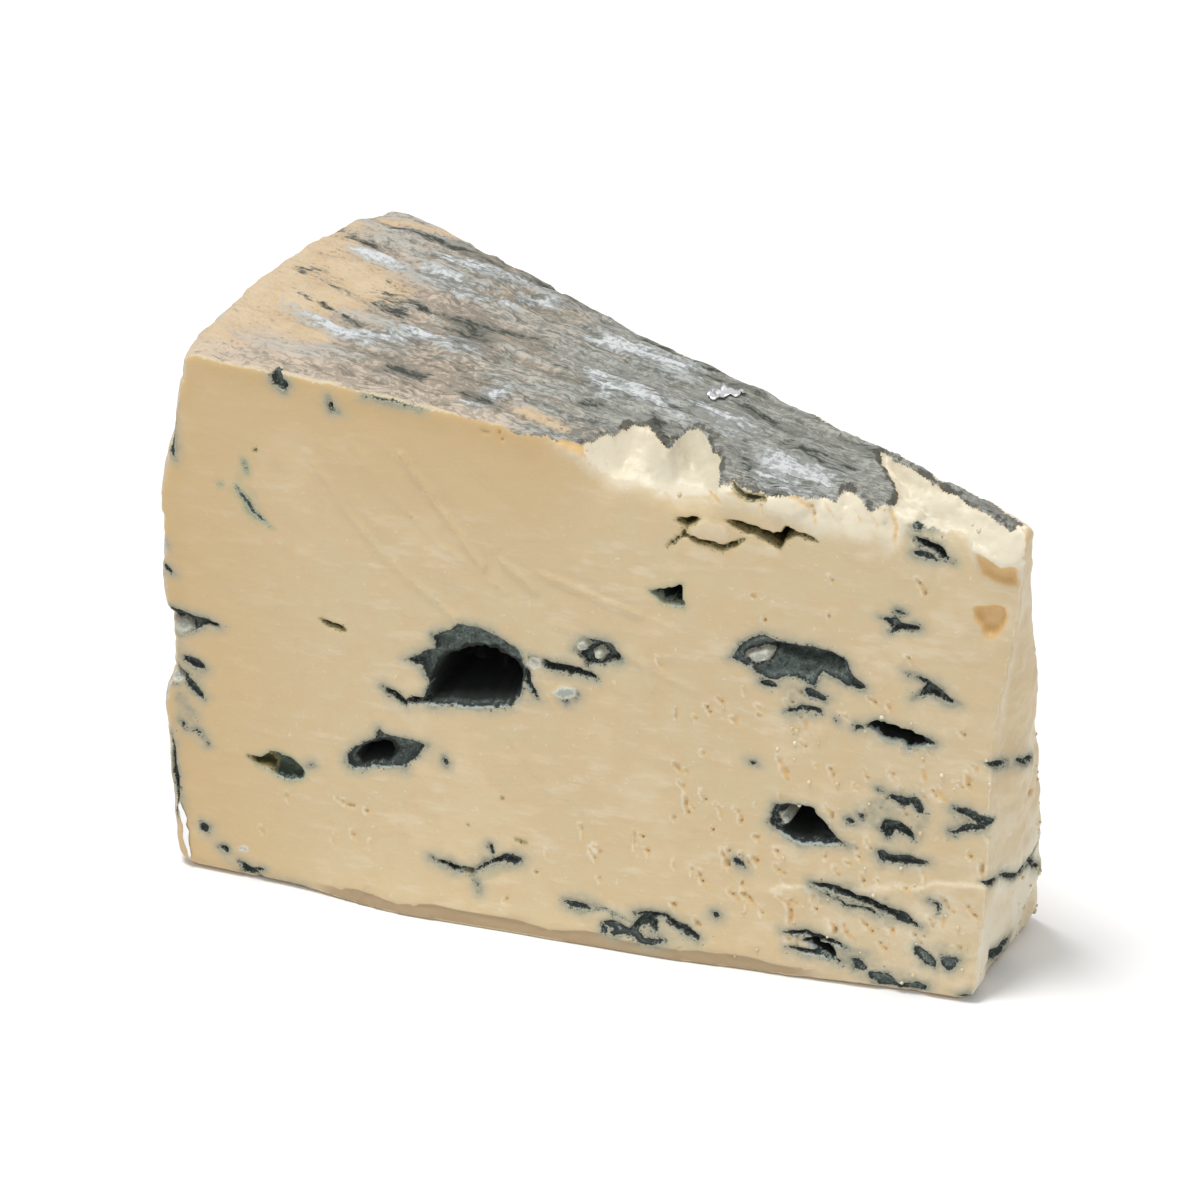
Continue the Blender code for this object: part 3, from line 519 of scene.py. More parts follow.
class StageSettings(bpy.types.PropertyGroup):
    """Camera, light and floor."""

    lens: FloatProperty(name="Lens", description="Focal length of the camera in millimetres", default=180.0)
    distance: length_setting("Distance", "From the camera to the middle of the wedge", 1.05)
    azimuth: angle_setting("Azimuth", "How far round to the right the camera stands", 18.161)
    elevation: angle_setting("Elevation", "How far the camera looks down", 28.536)
    lamp_height: length_setting("Lamp height", "From the overhead light to the middle of the wedge", 1.6)
    lamp_size: length_setting("Lamp size", "Width of the overhead light", 0.5)
    key_power: FloatProperty(
        name="Key light",
        description="Power of the large soft light overhead, in watts",
        default=17.0,
    )
    fill: FloatProperty(
        name="Fill",
        description="Strength of the white room around the stage",
        default=0.7,
    )


def smoothstep(low, high, value):
    share = np.clip((value - low) / (high - low), 0, 1)
    return share * share * (3 - 2 * share)


def smooth_max(first, second, width):
    """The larger of two fields, with the edge between them rounded over a width."""
    overlap = np.maximum(width - np.abs(first - second), 0) / width
    return np.maximum(first, second) + overlap * overlap * width / 4


NOISE_CELLS = 64
NOISE_TABLE = np.random.default_rng(11).uniform(-1, 1, (NOISE_CELLS,) * 3).astype(np.float32)


def noise(x, y, z, size, seed=0):
    """Smooth noise from -1 to 1. Its size is one length, or one for each axis, in millimetres."""
    cells = []
    parts = []
    for place, length, shift in zip((x, y, z), np.broadcast_to(size, 3), (0.37, 5.61, 9.83)):
        scaled = np.asarray(place / length + seed * 7.31 + shift)
        floor = np.floor(scaled)
        part = (scaled - floor).astype(np.float32)
        cells.append(floor.astype(np.int64))
        parts.append(part * part * (3 - 2 * part))
    total = 0.0
    for corner in itertools.product((0, 1), repeat=3):
        weight = 1.0
        for part, step in zip(parts, corner):
            weight = weight * (part if step else 1 - part)
        index = tuple((cell + step) % NOISE_CELLS for cell, step in zip(cells, corner))
        total = total + weight * NOISE_TABLE[index]
    return total


def outline_distance(across, up, outline):
    """Distance to a closed outline, negative inside it."""
    nearest = np.full(across.shape, FAR)
    inside = np.zeros(across.shape, bool)
    for (x0, y0), (x1, y1) in zip(outline, outline[1:] + outline[:1]):
        dx = x1 - x0
        dy = y1 - y0
        share = np.clip(((across - x0) * dx + (up - y0) * dy) / (dx * dx + dy * dy), 0, 1)
        nearest = np.minimum(nearest, np.hypot(across - x0 - share * dx, up - y0 - share * dy))
        if dy:
            inside ^= ((y0 > up) != (y1 > up)) & (across < x0 + dx * (up - y0) / dy)
    return np.where(inside, -nearest, nearest)


def path_distance(across, up, path, width):
    """Distance to the edge of a stroke that tapers towards both its ends, negative inside it."""
    spans = [math.dist(first, second) for first, second in zip(path, path[1:])]
    length = sum(spans)
    nearest = np.full(across.shape, FAR)
    done = 0.0
    for (x0, y0), (x1, y1), span in zip(path, path[1:], spans):
        dx = x1 - x0
        dy = y1 - y0
        share = np.clip(((across - x0) * dx + (up - y0) * dy) / (span * span), 0, 1)
        along = (done + share * span) / length
        half = 0.5 * width * (0.45 + 0.55 * np.abs(np.sin(math.pi * along)) ** 0.6)
        nearest = np.minimum(nearest, np.hypot(across - x0 - share * dx, up - y0 - share * dy) - half)
        done += span
    return nearest


class FaceMap:
    """A fine grid laid on one face of the wedge, in millimetres.

    It holds the relief of the face, positive into the cheese, how deep the caves are cut, how fresh
    or torn the paste is, and how far each point is from the edge of each kind of lining.
    """

    LININGS = ("mould", "olive", "green", "tan", "flake", "core")
    CELL = 0.25
    # A mould-lined cave this deep has a dark core, painted dark: dark mould and painted shade.
    DARK_DEPTH = 6.2
    # Room left around an outline for its ragged edge and the stain around it.
    MARGIN = 5

    def __init__(self, across, up, seed):
        self.low = (across[0], up[0])
        self.seed = seed
        x = np.arange(across[0], across[1] + self.CELL, self.CELL)
        y = np.arange(up[0], up[1] + self.CELL, self.CELL)
        self.x, self.y = np.meshgrid(x, y, indexing="ij")
        self.layers = {"relief": np.zeros(self.x.shape), "depth": np.zeros(self.x.shape)}
        self.layers["fresh"] = np.zeros(self.x.shape)
        for lining in self.LININGS:
            self.layers[lining] = np.full(self.x.shape, FAR)

    def window(self, points, margin):
        """The part of the grid around some points, as two slices."""
        slices = []
        for axis in (0, 1):
            values = [point[axis] for point in points]
            first = (min(values) - margin - self.low[axis]) / self.CELL
            last = (max(values) + margin - self.low[axis]) / self.CELL
            most = self.x.shape[axis]
            slices.append(slice(int(np.clip(first, 0, most - 1)), int(np.clip(last + 2, 1, most))))
        return tuple(slices)

    def ragged(self, part, amount):
        """The grid's places in a window, shifted by fine noise so that outlines come out ragged."""
        x = self.x[part]
        y = self.y[part]
        shift_x = noise(x, y, self.seed, 2.2) + 0.5 * noise(x, y, self.seed, 0.8, 1)
        shift_y = noise(x, y, self.seed, 2.0, 2) + 0.5 * noise(x, y, self.seed, 0.7, 3)
        return x + amount * shift_x, y + amount * shift_y

    def line(self, part, lining, distance):
        self.layers[lining][part] = np.minimum(self.layers[lining][part], distance)

    def cut(self, part, lining, depth, slope, distance):
        """Sinks what lies inside a distance, over a sloping wall, and lines it."""
        sunk = depth * smoothstep(0, slope, -distance)
        rough = 1 + 0.22 * noise(self.x[part], self.y[part], self.seed, 1.4, 4)
        self.layers["depth"][part] = np.maximum(self.layers["depth"][part], sunk * rough)
        self.line(part, lining, distance)

    def cave(self, lining, depth, slope, outline):
        part = self.window(outline, self.MARGIN)
        distance = outline_distance(*self.ragged(part, 0.35), outline)
        self.cut(part, lining, depth, slope, distance)
        if lining == "mould" and depth > self.DARK_DEPTH:
            self.line(part, "core", distance)

    def vein(self, lining, depth, width, path):
        part = self.window(path, self.MARGIN)
        distance = path_distance(*self.ragged(part, 0.3), path, width)
        self.cut(part, lining, depth, width / 2, distance)

    def flake(self, depth, outline):
        """A pale scrap whose top lies at a given depth."""
        part = self.window(outline, 2)
        distance = outline_distance(*self.ragged(part, 0.2), outline)
        share = smoothstep(0.15, -0.45, distance)
        deep = self.layers["depth"][part]
        self.layers["depth"][part] = deep + (depth - deep) * share
        self.line(part, "flake", distance)
        for lining in ("mould", "olive", "green", "core"):
            self.layers[lining][part] = np.maximum(self.layers[lining][part], -distance)

    def at(self, layer, across, up):
        """The value of a layer at any places, read between the grid's points."""
        grid = self.layers[layer]
        x = np.clip((across - self.low[0]) / self.CELL, 0, grid.shape[0] - 1.001)
        y = np.clip((up - self.low[1]) / self.CELL, 0, grid.shape[1] - 1.001)
        i = x.astype(int)
        j = y.astype(int)
        x = x - i
        y = y - j
        low = grid[i, j] * (1 - y) + grid[i, j + 1] * y
        high = grid[i + 1, j] * (1 - y) + grid[i + 1, j + 1] * y
        return low * (1 - x) + high * x

    def surface(self, across, up):
        return self.at("relief", across, up) + self.at("depth", across, up)


def table(rows, value):
    """Value of a table of (place, amount) rows at some places."""
    places, amounts = zip(*rows)
    return np.interp(value, places, amounts)


class Slice:
    """The slice in the cut frame, in millimetres: where its faces lie and what is worked into them."""

    SIDES = ("front", "top", "rim", "back", "tip", "base")
    # How far the back cut passes behind the wheel's axis.
    BACK_SHIFT = 1.2
    # How far before the axis the tip stands at its foot, and how much it gains towards its top.
    TIP_SETBACK = 7
    TIP_LEAN = 6.0
    # The corners of the grid that the surface is worked on.
    GRID_LOW = (-9.0, -6.0, -1.5)
    GRID_HIGH = (153.0, 90.0, 107.0)

    def __init__(self, sizes):
        self.radius = sizes.wheel_radius / MM
        self.rim_height = sizes.rim_height / MM
        self.axis_height = sizes.axis_height / MM
        self.sector = sizes.sector
        self.ridge = sizes.rind_ridge / MM
        level = np.array((math.sin(self.sector), math.cos(self.sector), 0))
        lean = sizes.back_lean
        self.back_out = level * math.cos(lean) + np.array((0, 0, math.sin(lean)))
        self.back_along = np.array((-math.cos(self.sector), math.sin(self.sector), 0))
        self.back_up = np.cross(self.back_along, -self.back_out)
        self.back_edge = np.array((self.radius, 0, self.axis_height)) + level * self.BACK_SHIFT
        self.back_foot = self.back_edge - self.back_up * self.axis_height / math.cos(lean)
        self.tip_foot = np.array((self.radius - self.TIP_SETBACK, 0, 0))
        self.tip_across = np.array((math.sin(sizes.tip_turn), math.cos(sizes.tip_turn), 0))
        up = np.array((self.TIP_LEAN, 0, self.axis_height))
        self.tip_up = up / np.linalg.norm(up)
        outward = np.cross(self.tip_across, up)
        self.tip_out = outward / np.linalg.norm(outward)
        self.front = self.front_face()
        self.top = self.top_face()
        self.rim = self.rim_face()
        self.back = self.back_face()
        self.tip = self.tip_face()

    def front_face(self):
        """The front cut: across is u and up is z."""
        face = FaceMap((-10, 154), (-2, 108), 1)
        u, z = face.x, face.y
        spread = table(FOOT_SPREAD, u) * np.exp(-((np.maximum(z, 0) / 22) ** 1.5))
        above = z - table(BREAK_LINE, u) + 0.7 * noise(u, z, 0, 2.6, 5)
        broken = smoothstep(-0.2, 0.9, above) * smoothstep(58, 74, u)
        lumps = 0.75 * noise(u, z, 1, 4.2, 6) + 0.3 * noise(u, z, 2, 1.7, 7) + 0.12 * noise(u, z, 3, 0.8, 8)
        flare = (1.5 + 1.2 * smoothstep(20, 40, u) * smoothstep(108, 86, u)) * np.exp(-np.maximum(z, 0) / 5)
        ledges = smoothstep(0, 7, above)
        brow = 0.15 + lumps * (0.35 + 0.65 * ledges) + 0.16 * np.maximum(above, 0)
        relief = -spread - flare + broken * brow
        relief += 0.22 * noise(u, z, 4, 18, 9)
        tucked = z + 0.5 * noise(u, z, 9, 7, 42)
        under = smoothstep(16, 34, u) * smoothstep(128, 100, u)
        relief -= 1.3 * under * np.exp(-np.maximum(z, 0) / 6)
        relief += under * (0.5 * smoothstep(2.7, 2.3, tucked) + 0.8 * np.clip((2.5 - tucked) / 2.5, 0, 1))
        # The tucked foot is painted darker brown: painted shade, with some damp browning of the foot.
        face.layers["tuck_shade"] = under * smoothstep(2.7, 2.4, tucked)
        below = table(STEP_LINE, u) - z + 0.7 * noise(u, z, 10, 2.4, 43) + 0.3 * noise(u, z, 11, 0.9, 44)
        step = smoothstep(98, 108, u) * smoothstep(0.0, 0.5, below)
        relief -= 0.55 * step * np.exp(-np.maximum(below, 0) / 8)
        smear_u = u + 0.35 * z
        smear_z = z - 0.12 * u
        relief += 0.05 * noise(smear_u, smear_z, 5, (9, 1.6, 9), 10)
        relief += 0.03 * noise(smear_u, smear_z, 6, (3.5, 0.9, 3), 11)
        drag = smoothstep(96, 60, u) * smoothstep(36, 56, z)
        relief += 0.12 * drag * noise(0.55 * u + 0.83 * z, 0.83 * u - 0.55 * z, 9, (2.6, 17, 9), 40)
        torn = smoothstep(0.05, 0.5, noise(u, z, 7, 7, 12) + smoothstep(78, 120, u) - 0.55 - z / 300)
        relief += 0.14 * torn * noise(u, z, 8, 1.1, 13)
        for height, path in KNIFE_DRAGS:
            part = face.window(path, 6)
            distance = path_distance(*face.ragged(part, 0.3), path, 0.2)
            relief[part] -= 2 * height * np.exp(-((distance / 0.4) ** 2))
            relief[part] += height * np.exp(-(((distance - 1.2) / 0.8) ** 2))
        face.layers["relief"] = relief
        fade = 0.6 * smoothstep(-7.5, 1.0, above) * smoothstep(58, 76, u)
        face.layers["fresh"] = np.maximum(broken * (0.36 + 0.4 * smoothstep(0.5, 6, above)), 0.25 * torn)
        sill = 0.45 * smoothstep(98, 108, u) * np.exp(-(((below - 0.2) / 0.7) ** 2))
        sill = np.maximum(sill, 0.3 * smoothstep(98, 120, u) * smoothstep(28, 18, z))
        face.layers["fresh"] = np.maximum.reduce((face.layers["fresh"], fade, sill))
        for height, outline in FRONT_BLOCKS.values():
            part = face.window(outline, 3)
            distance = outline_distance(*face.ragged(part, 0.3), outline)
            relief[part] -= height * smoothstep(0.5, -0.5, distance)
            pale = min(1, height / 1.5) * smoothstep(0.4, -0.2, distance)
            face.layers["fresh"][part] = np.maximum(face.layers["fresh"][part], pale)
        for cave in FRONT_CAVES.values():
            face.cave(*cave)
        for lining, veins in FRONT_VEINS.items():
            swell = MOULD_SWELL if lining == "mould" else 1.0
            for depth, width, path in veins.values():
                face.vein(lining, depth, width * swell, path)
        for lining, width, path in FRONT_STAINS:
            part = face.window(path, 6)
            distance = path_distance(*face.ragged(part, 0.8), path, width)
            face.line(part, lining, 0.6 + np.maximum(distance, 0))
        for depth, outline in FRONT_FLAKES.values():
            face.flake(depth, outline)
        self.chip(face, CHIP_FIELDS, 21)
        return face

    def chip(self, face, fields, seed):
        """Small slanting chips, torn out of the face by the knife."""
        draw = np.random.default_rng(seed)
        for low_u, high_u, low_z, high_z, count in fields:
            for _ in range(count):
                u = draw.uniform(low_u, high_u)
                z = draw.uniform(low_z, high_z)
                length = draw.uniform(1.0, 4.8) * draw.uniform(0.5, 1)
                angle = math.radians(draw.normal(-58, 17))
                bend = draw.uniform(-0.5, 0.5)
                along = np.array((math.cos(angle), math.sin(angle)))
                side = np.array((-along[1], along[0]))
                start = np.array((u, z))
                path = (start, start + along * length / 2 + side * bend, start + along * length)
                width = draw.uniform(0.3, 0.8)
                depth = draw.uniform(0.35, 1.0)
                path = tuple(tuple(point) for point in path)
                face.vein("tan", depth, width, path)
                part = face.window(path, 3)
                distance = path_distance(*face.ragged(part, 0.3), path, width)
                # A raised rim on the chip's left side, painted pale there as a painted highlight on its lit
                # side.
                rim = np.exp(-(((distance - 0.35) / 0.3) ** 2)) * (face.x[part] < path[1][0])
                face.layers["relief"][part] -= 0.1 * rim
                face.layers["fresh"][part] = np.maximum(face.layers["fresh"][part], 0.5 * rim)

    def top_face(self):
        """The top, seen from above: across is u and up is b. Its relief is the height of the surface."""
        face = FaceMap((-10, 154), (-6, 92), 2)
        u, b = face.x, face.y
        r, arc = self.polar(u, b)
        height = self.axis_height + (self.rim_height - self.axis_height) * np.minimum(r / self.radius, 1.02)
        height += 2.6 * smoothstep(0, 35, b) * smoothstep(80, 135, r)
        back_corner = (self.radius * (1 - math.cos(self.sector)), self.radius * math.sin(self.sector))
        height -= 2.4 * np.exp(-np.hypot(u - back_corner[0], b - back_corner[1]) / 7)
        height -= table(EDGE_WEAR, u) * np.exp(-((np.maximum(b, 0) / 8) ** 2))
        t = self.grain_width(r, arc)
        ridges = noise(r, t, 0, (17, 3.2, 9), 14)
        grooves = noise(r, t, 1, (6, 1.5, 9), 15)
        plate = smoothstep(-0.22, 0.16, ridges + 0.55 * grooves)
        old = smoothstep(10, 52, u + 0.4 * b)
        height += self.ridge * (plate * (0.35 + 0.65 * old) + 0.5 * grooves)
        height += 0.14 * noise(u, b, 2, 1.6, 16) + 0.08 * noise(u, b, 3, 0.8, 17)
        pits = smoothstep(0.36, 0.6, noise(r, t, 4, (3.6, 1.3, 9), 18))
        height -= 0.5 * pits * (0.2 + 0.8 * old)
        # Raised plates of the rind; the rind colour paints them lighter and the grooves and pits darker, as
        # painted highlight and painted shade.
        face.layers["plate"] = plate * (1 - 0.7 * pits)
        gone = np.zeros(u.shape)
        edge = np.full(u.shape, FAR)
        for outline, depth in zip(RIND_GAPS, RIND_GAP_DEPTHS):
            distance = outline_distance(*face.ragged(..., 0.5), outline)
            share = smoothstep(0.25, -1.0, distance)
            crumble = 0.7 * noise(u, b, 5, 3.4, 19) + 0.3 * noise(u, b, 6, 1.4, 20)
            height += share * (crumble - depth * smoothstep(0, -3.5, distance) - 0.9)
            height += 0.35 * np.exp(-(((distance - 0.7) / 0.7) ** 2))
            gone = np.maximum(gone, share)
            edge = np.minimum(edge, distance)
        face.layers["relief"] = -height
        face.layers["fresh"] = gone
        face.layers["edge"] = np.abs(edge)
        return face

    def rim_face(self):
        """The rim: across is the arc from the front cut and up is z. Its relief is minus the radius."""
        face = FaceMap((-12, 80), (-2, 108), 3)
        arc, z = face.x, face.y
        behind = np.maximum(arc, 0)
        radius = self.radius + table(RIM_PROFILE, z)
        radius += 1.4 * smoothstep(0, 12, behind)
        radius -= 1.8 * np.exp(-(((z - 43) / 8) ** 4)) * np.exp(-behind / 18)
        waves = 0.9 * noise(arc, z, 0, 15, 21) + 0.45 * noise(arc, z, 1, 5, 22)
        radius += waves * (1 - 0.65 * smoothstep(82, 96, z))
        radius += 0.1 * noise(arc, z, 2, 1.7, 23) + 0.04 * noise(arc, z, 3, 0.8, 24)
        cracks = np.abs(noise(arc, z, 4, (7, 11, 9), 25))
        radius -= 0.3 * smoothstep(0.06, 0.0, cracks)
        pits = smoothstep(0.45, 0.65, noise(arc, z, 5, 2.4, 26))
        radius -= 0.3 * pits
        # Raised plates of the rind, lighter in colour, with darker pits: painted highlight and painted
        # shade.
        face.layers["plate"] = smoothstep(-0.3, 0.3, noise(arc, z, 6, (5, 2.2, 9), 39)) * (1 - pits)
        face.layers["relief"] = -radius
        return face

    def back_face(self):
        """The back cut: across is the distance from the tip and up climbs the leaning face."""
        face = FaceMap((-8, 164), (-4, 116), 4)
        s, h = face.x, face.y
        relief = 0.55 * noise(s, h, 0, 18, 27) + 0.06 * noise(s, h, 1, (8, 1.6, 8), 28)
        torn = smoothstep(0.0, 0.5, noise(s, h, 2, 9, 29) - 0.1)
        relief += 0.14 * torn * noise(s, h, 3, 1.2, 30)
        edge = self.axis_height + 4 - h + 1.2 * noise(s, h, 4, 5, 31)
        broken = smoothstep(5, 1, edge) * smoothstep(64, 40, s)
        relief += broken * (0.8 + 0.7 * noise(s, h, 5, 3.6, 32))
        face.layers["relief"] = relief
        face.layers["fresh"] = np.maximum(broken, 0.3 * torn)
        draw = np.random.default_rng(33)
        for distance, height, width, tall, depth, tilt in BACK_CAVES.values():
            wall = self.uneven_oval(distance, height, width + 2.4, tall + 2.0, tilt, draw)
            core = self.uneven_oval(distance, height - 0.3, width - 1.0, tall - 0.6, tilt, draw)
            face.cave("mould", min(depth / 2, 2.4), 1.8, wall)
            face.cave("mould", depth, 1.6, core)
        for _ in range(BACK_VEINS):
            start = np.array((draw.uniform(8, 146), draw.uniform(2, 86)))
            angle = math.radians(draw.normal(8, 24))
            path = [tuple(start)]
            for _ in range(draw.integers(1, 4)):
                angle += draw.normal(0, 0.5)
                start = start + draw.uniform(1.5, 4.5) * np.array((math.cos(angle), math.sin(angle)))
                path.append(tuple(start))
            lining = "olive" if draw.uniform() < 0.2 else "mould"
            face.vein(lining, draw.uniform(0.6, 2.4), draw.uniform(0.6, 1.9), tuple(path))
        self.chip(face, ((4, 60, 4, 80, 70), (60, 150, 4, 80, 50)), 34)
        return face

    def uneven_oval(self, distance, height, width, tall, tilt, draw):
        """An oval outline with uneven sides."""
        outline = []
        steps = 14
        turn = math.radians(tilt)
        for step in range(steps):
            angle = math.tau * step / steps
            reach = 0.5 * draw.uniform(0.78, 1.12)
            x = width * reach * math.cos(angle)
            y = tall * reach * math.sin(angle)
            place = (x * math.cos(turn) - y * math.sin(turn), x * math.sin(turn) + y * math.cos(turn))
            outline.append((distance + place[0], height + place[1]))
        return tuple(outline)

    def tip_face(self):
        """The blunt tip: across is the distance from the front edge and up climbs the tip."""
        face = FaceMap((-6, 34), (-4, 106), 5)
        s, h = face.x, face.y
        belly = np.sin(math.pi * np.clip(h / self.axis_height, 0, 1) ** 0.6)
        relief = -1.6 * belly * smoothstep(2, 9, s)
        relief += 1.9 * np.exp(-(((h - 50) / 19) ** 2)) * np.exp(-np.maximum(s, 0) / 5)
        relief -= 0.9 * noise(s, h, 0, 9, 35) * smoothstep(0, 3, s)
        relief -= 1.1 * np.maximum(noise(s, h, 4, 3.4, 41), 0) * smoothstep(12, 21, s)
        relief += 0.5 * noise(s, h, 1, 3.2, 36) * smoothstep(1, 5, s)
        relief += 0.22 * noise(s, h, 2, 1.3, 37)
        face.layers["relief"] = relief
        # The last term makes the tip paler towards its foot: painted light, where the lower tip catches the
        # overhead light.
        face.layers["fresh"] = 0.25 + 0.35 * noise(s, h, 3, 6, 38) + 0.3 * smoothstep(30, 12, h)
        for lining, veins in TIP_VEINS.items():
            for vein in veins.values():
                face.vein(lining, *vein)
        return face

    def grain_width(self, r, arc):
        """Place across the streaks of the rind, which run nearly towards the axis."""
        return (arc / self.radius - self.sector / 2) * (0.4 * self.radius + 0.6 * r)

    def polar(self, u, b):
        """Distance from the wheel's axis, and the arc at the rim from the front cut."""
        r = np.hypot(self.radius - u, b)
        return r, np.arctan2(b, self.radius - u) * self.radius

    def on_back(self, u, b, z):
        """Distance past the plain back cut, and the place on it."""
        offset = [u - self.back_edge[0], b - self.back_edge[1], z - self.back_edge[2]]
        out = sum(part * along for part, along in zip(offset, self.back_out))
        offset = [u - self.back_foot[0], b - self.back_foot[1], z - self.back_foot[2]]
        across = sum(part * along for part, along in zip(offset, self.back_along))
        up = sum(part * along for part, along in zip(offset, self.back_up))
        return out, across, up

    def on_tip(self, u, b, z):
        """Distance past the plain tip, and the place on it."""
        offset = [u - self.tip_foot[0], b, z]
        out = sum(part * along for part, along in zip(offset, self.tip_out))
        across = sum(part * along for part, along in zip(offset, self.tip_across))
        up = sum(part * along for part, along in zip(offset, self.tip_up))
        return out, across, up

    def past(self, side, u, b, z):
        """How far some points lie past one worked side, in millimetres, negative inside the cheese."""
        if side == "front":
            return self.front.surface(u, z) - b
        if side == "top":
            return z + self.top.surface(u, b)
        if side == "rim":
            r, arc = self.polar(u, b)
            return r + self.rim.surface(arc, z)
        if side == "back":
            out, across, up = self.on_back(u, b, z)
            return out + self.back.surface(across, up)
        if side == "tip":
            out, across, up = self.on_tip(u, b, z)
            return out + self.tip.surface(across, up)
        return -z

    def field(self, step):
        """The grid's lowest corner, and how far each of its points lies outside the cheese."""
        low = np.array(self.GRID_LOW)
        high = np.array(self.GRID_HIGH)
        counts = np.ceil((high - low) / step).astype(int)
        u, b, z = (low[axis] + step * np.arange(counts[axis]) for axis in range(3))
        front = self.front.surface(*np.meshgrid(u, z, indexing="ij")).astype(np.float32)[:, None, :]
        front = front - b[None, :, None].astype(np.float32)
        top = self.top.surface(*np.meshgrid(u, b, indexing="ij")).astype(np.float32)[:, :, None]
        top = z[None, None, :].astype(np.float32) + top
        gap = smoothstep(68, 77, u) * (1 - 0.7 * smoothstep(94, 98, u) * smoothstep(114, 110, u))
        total = smooth_max(front, top, (1.0 + 5.0 * gap).astype(np.float32)[:, None, None])
        del front, top
        places = np.meshgrid(*(axis.astype(np.float32) for axis in (u, b, z)), indexing="ij")
        for side, reach, round_off in (("rim", 6, 2.6), ("back", 14, 1.0), ("tip", 6, 0.6)):
            plain = self.plain(side, *places)
            near = np.abs(plain) < reach
            plain[near] = self.past(side, *(place[near] for place in places))
            total = smooth_max(total, plain, round_off)
            del plain
        base = -z.astype(np.float32)[None, None, :]
        worn = 3.6 - 2.8 * smoothstep(16, 34, u) * smoothstep(128, 100, u)
        return low, smooth_max(total, base, worn.astype(np.float32)[:, None, None])

    def plain(self, side, u, b, z):
        """How far the points lie past one side before it is worked."""
        if side == "rim":
            return self.polar(u, b)[0] - np.float32(self.radius + 4)
        if side == "back":
            return self.on_back(u, b, z)[0].astype(np.float32)
        return self.on_tip(u, b, z)[0].astype(np.float32)


# Most rounds of filling what the surface pinches, and how far inside a filled point is set, in millimetres.
PINCH_ROUNDS = 12
PINCH_FILL = 0.02
SQUARE_CORNERS = tuple(itertools.product((0, 1), repeat=2))
CELL_CORNERS = tuple(itertools.product((0, 1), repeat=3))
CELL_EDGES = tuple(
    (i, j)
    for i, j in itertools.combinations(range(8), 2)
    if sum(a != b for a, b in zip(CELL_CORNERS[i], CELL_CORNERS[j])) == 1
)


def fill_pinches(field):
    """Fills a grid point wherever the surface would meet itself along one edge, so it stays a plain skin."""
    for _ in range(PINCH_ROUNDS):
        inside = field < 0
        found = 0
        for axis in range(3):
            first, second = [other for other in range(3) if other != axis]
            corners = []
            for steps in SQUARE_CORNERS:
                part = [slice(None)] * 3
                for along, start in zip((first, second), steps):
                    part[along] = slice(start, inside.shape[along] - 1 + start)
                corners.append(inside[tuple(part)])
            pinched = (corners[0] == corners[3]) & (corners[1] == corners[2]) & (corners[0] != corners[1])
            offsets = np.zeros((4, 1, 3), int)
            offsets[:, 0, [first, second]] = SQUARE_CORNERS
            ends = np.argwhere(pinched) + offsets
            values = field[tuple(np.moveaxis(ends, 2, 0))]
            nearest = np.where(values < 0, FAR, values).argmin(axis=0)
            filled = ends[nearest, np.arange(len(nearest))]
            field[tuple(filled.T)] = -PINCH_FILL
            found += len(filled)
        if not found:
            break


def largest_part(points, quads):
    """The largest part of a net, joined by edges, without the specks that the grid leaves loose."""
    edges = np.stack((quads, np.roll(quads, -1, axis=1)), axis=2).reshape(-1, 2).astype(np.int64)
    key = edges.min(axis=1) * len(points) + edges.max(axis=1)
    pairs = (np.argsort(key, kind="stable") // 4).reshape(-1, 2)
    label = np.arange(len(quads))
    while True:
        lowest = label[pairs].min(axis=1)
        joined = label.copy()
        for end in pairs.T:
            np.minimum.at(joined, end, lowest)
        joined = joined[joined]
        if np.array_equal(joined, label):
            break
        label = joined
    kept = quads[label == np.bincount(label).argmax()]
    used, corners = np.unique(kept, return_inverse=True)
    return points[used], corners.reshape(-1, 4)


def surface_net(field, low, step):
    """Points and quads of the closed surface where a field on a grid passes through zero."""
    inside = field < 0
    count = np.zeros([size - 1 for size in inside.shape], np.uint8)
    for i, j, k in CELL_CORNERS:
        count += inside[
            i : i + count.shape[0],
            j : j + count.shape[1],
            k : k + count.shape[2],
        ]
    crossed = (count > 0) & (count < 8)
    cells = np.argwhere(crossed)
    index = np.full(crossed.shape, -1, np.int32)
    index[crossed] = np.arange(len(cells))
    values = [field[tuple((cells + corner).T)] for corner in CELL_CORNERS]
    total = np.zeros((len(cells), 3))
    hits = np.zeros(len(cells))
    for i, j in CELL_EDGES:
        cut = (values[i] < 0) != (values[j] < 0)
        share = values[i][cut] / (values[i][cut] - values[j][cut])
        start = np.array(CELL_CORNERS[i], float)
        along = np.array(CELL_CORNERS[j], float) - start
        total[cut] += start + share[:, None] * along
        hits[cut] += 1
    points = low + step * (cells + total / hits[:, None])
    quads = []
    for axis in range(3):
        first, second = [other for other in range(3) if other != axis]
        shorter = [slice(None)] * 3
        longer = [slice(None)] * 3
        shorter[axis] = slice(0, -1)
        longer[axis] = slice(1, None)
        before = inside[tuple(shorter)]
        after = inside[tuple(longer)]
        for leaving in (True, False):
            starts = np.argwhere((before & ~after) if leaving else (~before & after))
            ring = []
            for step_one, step_two in ((-1, -1), (0, -1), (0, 0), (-1, 0)):
                around = starts.copy()
                around[:, first] += step_one
                around[:, second] += step_two
                ring.append(index[tuple(around.T)])
            turned = leaving == (axis != 1)
            quads.append(np.stack(ring if turned else ring[::-1], axis=1))
    return points, np.concatenate(quads)


